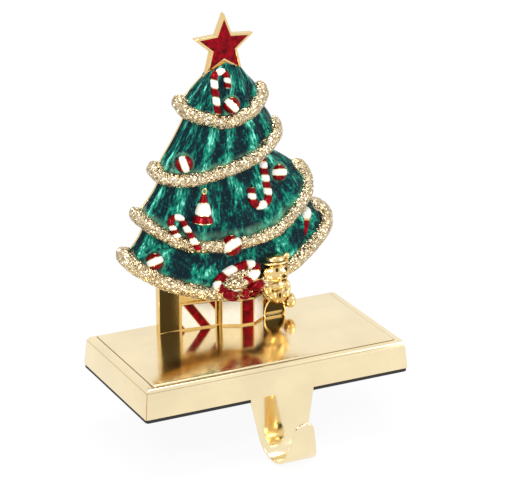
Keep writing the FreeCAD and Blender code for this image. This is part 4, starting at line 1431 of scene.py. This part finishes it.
def blend(made, size):
    """Melt a piece's overlapping swellings into one soft skin, and mark painted shade in its hollows."""
    remesh = made.modifiers.new("blend", "REMESH")
    remesh.mode = "VOXEL"
    remesh.voxel_size = size * MM
    soften = made.modifiers.new("soften", "SMOOTH")
    soften.iterations = 4
    mesh = bpy.data.meshes.new_from_object(made.evaluated_get(bpy.context.evaluated_depsgraph_get()))
    made.modifiers.clear()
    made.data = mesh
    mesh.polygons.foreach_set("use_smooth", [True] * len(mesh.polygons))
    shape = bmesh.new()
    shape.from_mesh(mesh)
    near = [[edge.other_vert(vert).index for edge in vert.link_edges] for vert in shape.verts]
    hollow = []
    for vert, others in zip(shape.verts, near):
        middle = sum((mesh.vertices[other].co for other in others), Vector()) / len(others)
        hollow.append((middle - vert.co).dot(vert.normal) / (size * MM))
    shape.free()
    smoothings, strength = 5, 18
    for _ in range(smoothings):
        hollow = [(value + sum(hollow[other] for other in others)) / (1 + len(others))
                  for value, others in zip(hollow, near)]
    # Painted shade: the deeper a point lies in a hollow, the darker its gold
    crease = mesh.attributes.new("crease", "FLOAT", "POINT")
    crease.data.foreach_set("value", [min(1.0, max(0.0, strength * value)) for value in hollow])


class HOLDER_OT_bear(bpy.types.Operator):
    """Seated bear with a hat, cast in one with the gifts"""
    bl_idname = "holder.bear"
    bl_label = "Bear"

    def execute(self, context):
        back = settings("figure").back
        body = Solid()
        for centre, sizes in BEAR_SWELLS:
            body.rings(ellipsoid(centre, sizes))
        last = (back - BEAR_FOOT.y, FOOT_PROFILE[-1][1])
        rings = lathe(BEAR_FOOT, Vector((0, 1, 0)), (*FOOT_PROFILE, last), 64)
        for ring in rings:
            for point in ring:
                point.z += FOOT_STRETCH * max(0.0, point.z - BEAR_FOOT.z)
        body.rings(rings)
        made = body.piece("bear", "rich gold", ["tree_casting"])
        blend(made, BLEND_SIZE)
        for point in made.data.vertices:
            point.co.z = max(point.co.z, SHELL_HIGH.z * MM)
            point.co.y = min(point.co.y, (back - BEAR_SETBACK) * MM)
        shade_marks = Solid()
        for centre, sizes in BEAR_SHADES:
            shade_marks.rings(ellipsoid(centre, sizes, 10, 16))
        # Painted shade: a dark arch inside the left foot's hollow sole
        arch = []
        for step in range(25):
            turn = math.pi * step / 24
            arch.append(BEAR_FOOT + Vector((5.0 * math.cos(turn), 0, 0.2 + 6.2 * math.sin(turn))))
        shade_marks.rings([[point + Vector((0, y, 0)) for point in arch] for y in (1.6, 1.05)])
        shade_marks.piece("bear_pits", "dark gold", ["tree_casting"], 50.0)
        return {"FINISHED"}


def seen_mix(tree, share, unseen, shown, output):
    """Light with one shader and show the other to the camera, in reflections and through glass."""
    rays = node(tree, "LightPath", (-1, 3))
    either = node(tree, "Math", (0, 3), operation="MAXIMUM")
    seen = node(tree, "Math", (0, 4), operation="MAXIMUM")
    part = node(tree, "Math", (1, 3), operation="MULTIPLY", in_1=share)
    mix = node(tree, "MixShader", (2, 1))
    wire(tree, (rays, "Is Camera Ray", either, 0), (rays, "Is Glossy Ray", either, 1),
         (either, 0, seen, 0), (rays, "Is Transmission Ray", seen, 1), (seen, 0, part, 0),
         (part, 0, mix, 0), (unseen, 0, mix, 1), (shown, 0, mix, 2),
         (mix, 0, tree.nodes[output], "Surface"))


class HOLDER_OT_stage(bpy.types.Operator):
    """Floor, lamps and the camera at the photo's viewing angle"""
    bl_idname = "holder.stage"
    bl_label = "Stage"

    def execute(self, context):
        stage = settings("stage")
        scene = context.scene
        low = (SHELL_LOW.z - stage.floor_drop) * MM
        size = FLOOR_HALF
        mesh = bpy.data.meshes.new("floor")
        corners = [(-size, -size, low), (size, -size, low), (size, size, low), (-size, size, low)]
        mesh.from_pydata(corners, [], [(0, 1, 2, 3)])
        material, tree, shader = new_material("floor")
        fill(shader, {"Roughness": 0.9, "Base Color": (0.86, 0.86, 0.86, 1.0)})
        glow = node(tree, "Emission", (0, 2))
        seen_mix(tree, FLOOR_SHOWN, shader, glow, "Material Output")
        mesh.materials.append(material)
        floor = bpy.data.objects.new("floor", mesh)
        scene.collection.objects.link(floor)

        world = bpy.data.worlds.new("studio")
        scene.world = world
        world.use_nodes = True
        tree = world.node_tree
        sky = tree.nodes["Background"]
        fill(sky, {"Strength": stage.world, "Color": (1, 1, 1, 1)})
        white = node(tree, "Background", (0, 2))
        fill(white, {"Strength": 1.0, "Color": (1, 1, 1, 1)})
        seen_mix(tree, 1.0, sky, white, "World Output")

        backward = viewing()
        right = (-backward).cross(Vector((0, 0, 1))).normalized()
        up = right.cross(-backward)
        place = backward * stage.distance + right * stage.shift_x + up * stage.shift_z
        place.z += PAD_HIGH.z
        data = bpy.data.cameras.new("camera")
        data.lens = stage.lens
        data.sensor_width = 36.0
        data.clip_end = 50.0
        camera = bpy.data.objects.new("camera", data)
        camera.matrix_world = Matrix.Translation(place * MM) @ Matrix(
            (right, up, backward)).transposed().to_4x4()
        scene.collection.objects.link(camera)
        scene.camera = camera

        target = Vector(LAMP_TARGET)
        for name, spot, width, power in LAMPS:
            light = bpy.data.lights.new(name, "AREA")
            light.shape = "SQUARE"
            light.size = width
            light.energy = power
            lamp = bpy.data.objects.new(name, light)
            lamp.location = spot
            lamp.rotation_euler = (target - Vector(spot)).to_track_quat("-Z", "Y").to_euler()
            scene.collection.objects.link(lamp)
        scene.view_settings.view_transform = "Standard"
        return {"FINISHED"}


OPERATORS = (HOLDER_OT_base, HOLDER_OT_hook, HOLDER_OT_inside, HOLDER_OT_casting,
             HOLDER_OT_garlands, HOLDER_OT_tiers, HOLDER_OT_star, HOLDER_OT_balls,
             HOLDER_OT_canes, HOLDER_OT_bell, HOLDER_OT_wreath, HOLDER_OT_bow,
             HOLDER_OT_gifts, HOLDER_OT_bear, HOLDER_OT_stage)
GROUPS = {"base": HolderBase, "figure": HolderFigure, "colours": HolderColours,
          "stage": HolderStage}


class HOLDER_PT_panel(bpy.types.Panel):
    """Lists the holder's sizes, colours and operators"""
    bl_label = "Stocking holder"
    bl_space_type = "VIEW_3D"
    bl_region_type = "UI"
    bl_category = "Holder"

    def draw(self, context):
        for name, kind in GROUPS.items():
            box = self.layout.box()
            box.label(text=name.capitalize())
            for key in kind.__annotations__:
                box.prop(settings(name), key)
        for operator in OPERATORS:
            self.layout.operator(operator.bl_idname)


def register():
    """Register the classes and hang the property groups on the scene."""
    for kind in (*GROUPS.values(), *OPERATORS, HOLDER_PT_panel):
        bpy.utils.register_class(kind)
    for name, kind in GROUPS.items():
        setattr(bpy.types.Scene, "holder_" + name, bpy.props.PointerProperty(type=kind))


def unregister():
    """Take the property groups and the classes away again."""
    for name in GROUPS:
        delattr(bpy.types.Scene, "holder_" + name)
    for kind in reversed((*GROUPS.values(), *OPERATORS, HOLDER_PT_panel)):
        bpy.utils.unregister_class(kind)


def main():
    """Build every piece in order."""
    register()
    for operator in OPERATORS:
        group_name, name = operator.bl_idname.split(".")
        getattr(getattr(bpy.ops, group_name), name)()
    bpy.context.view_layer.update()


if __name__ == "__main__":
    main()
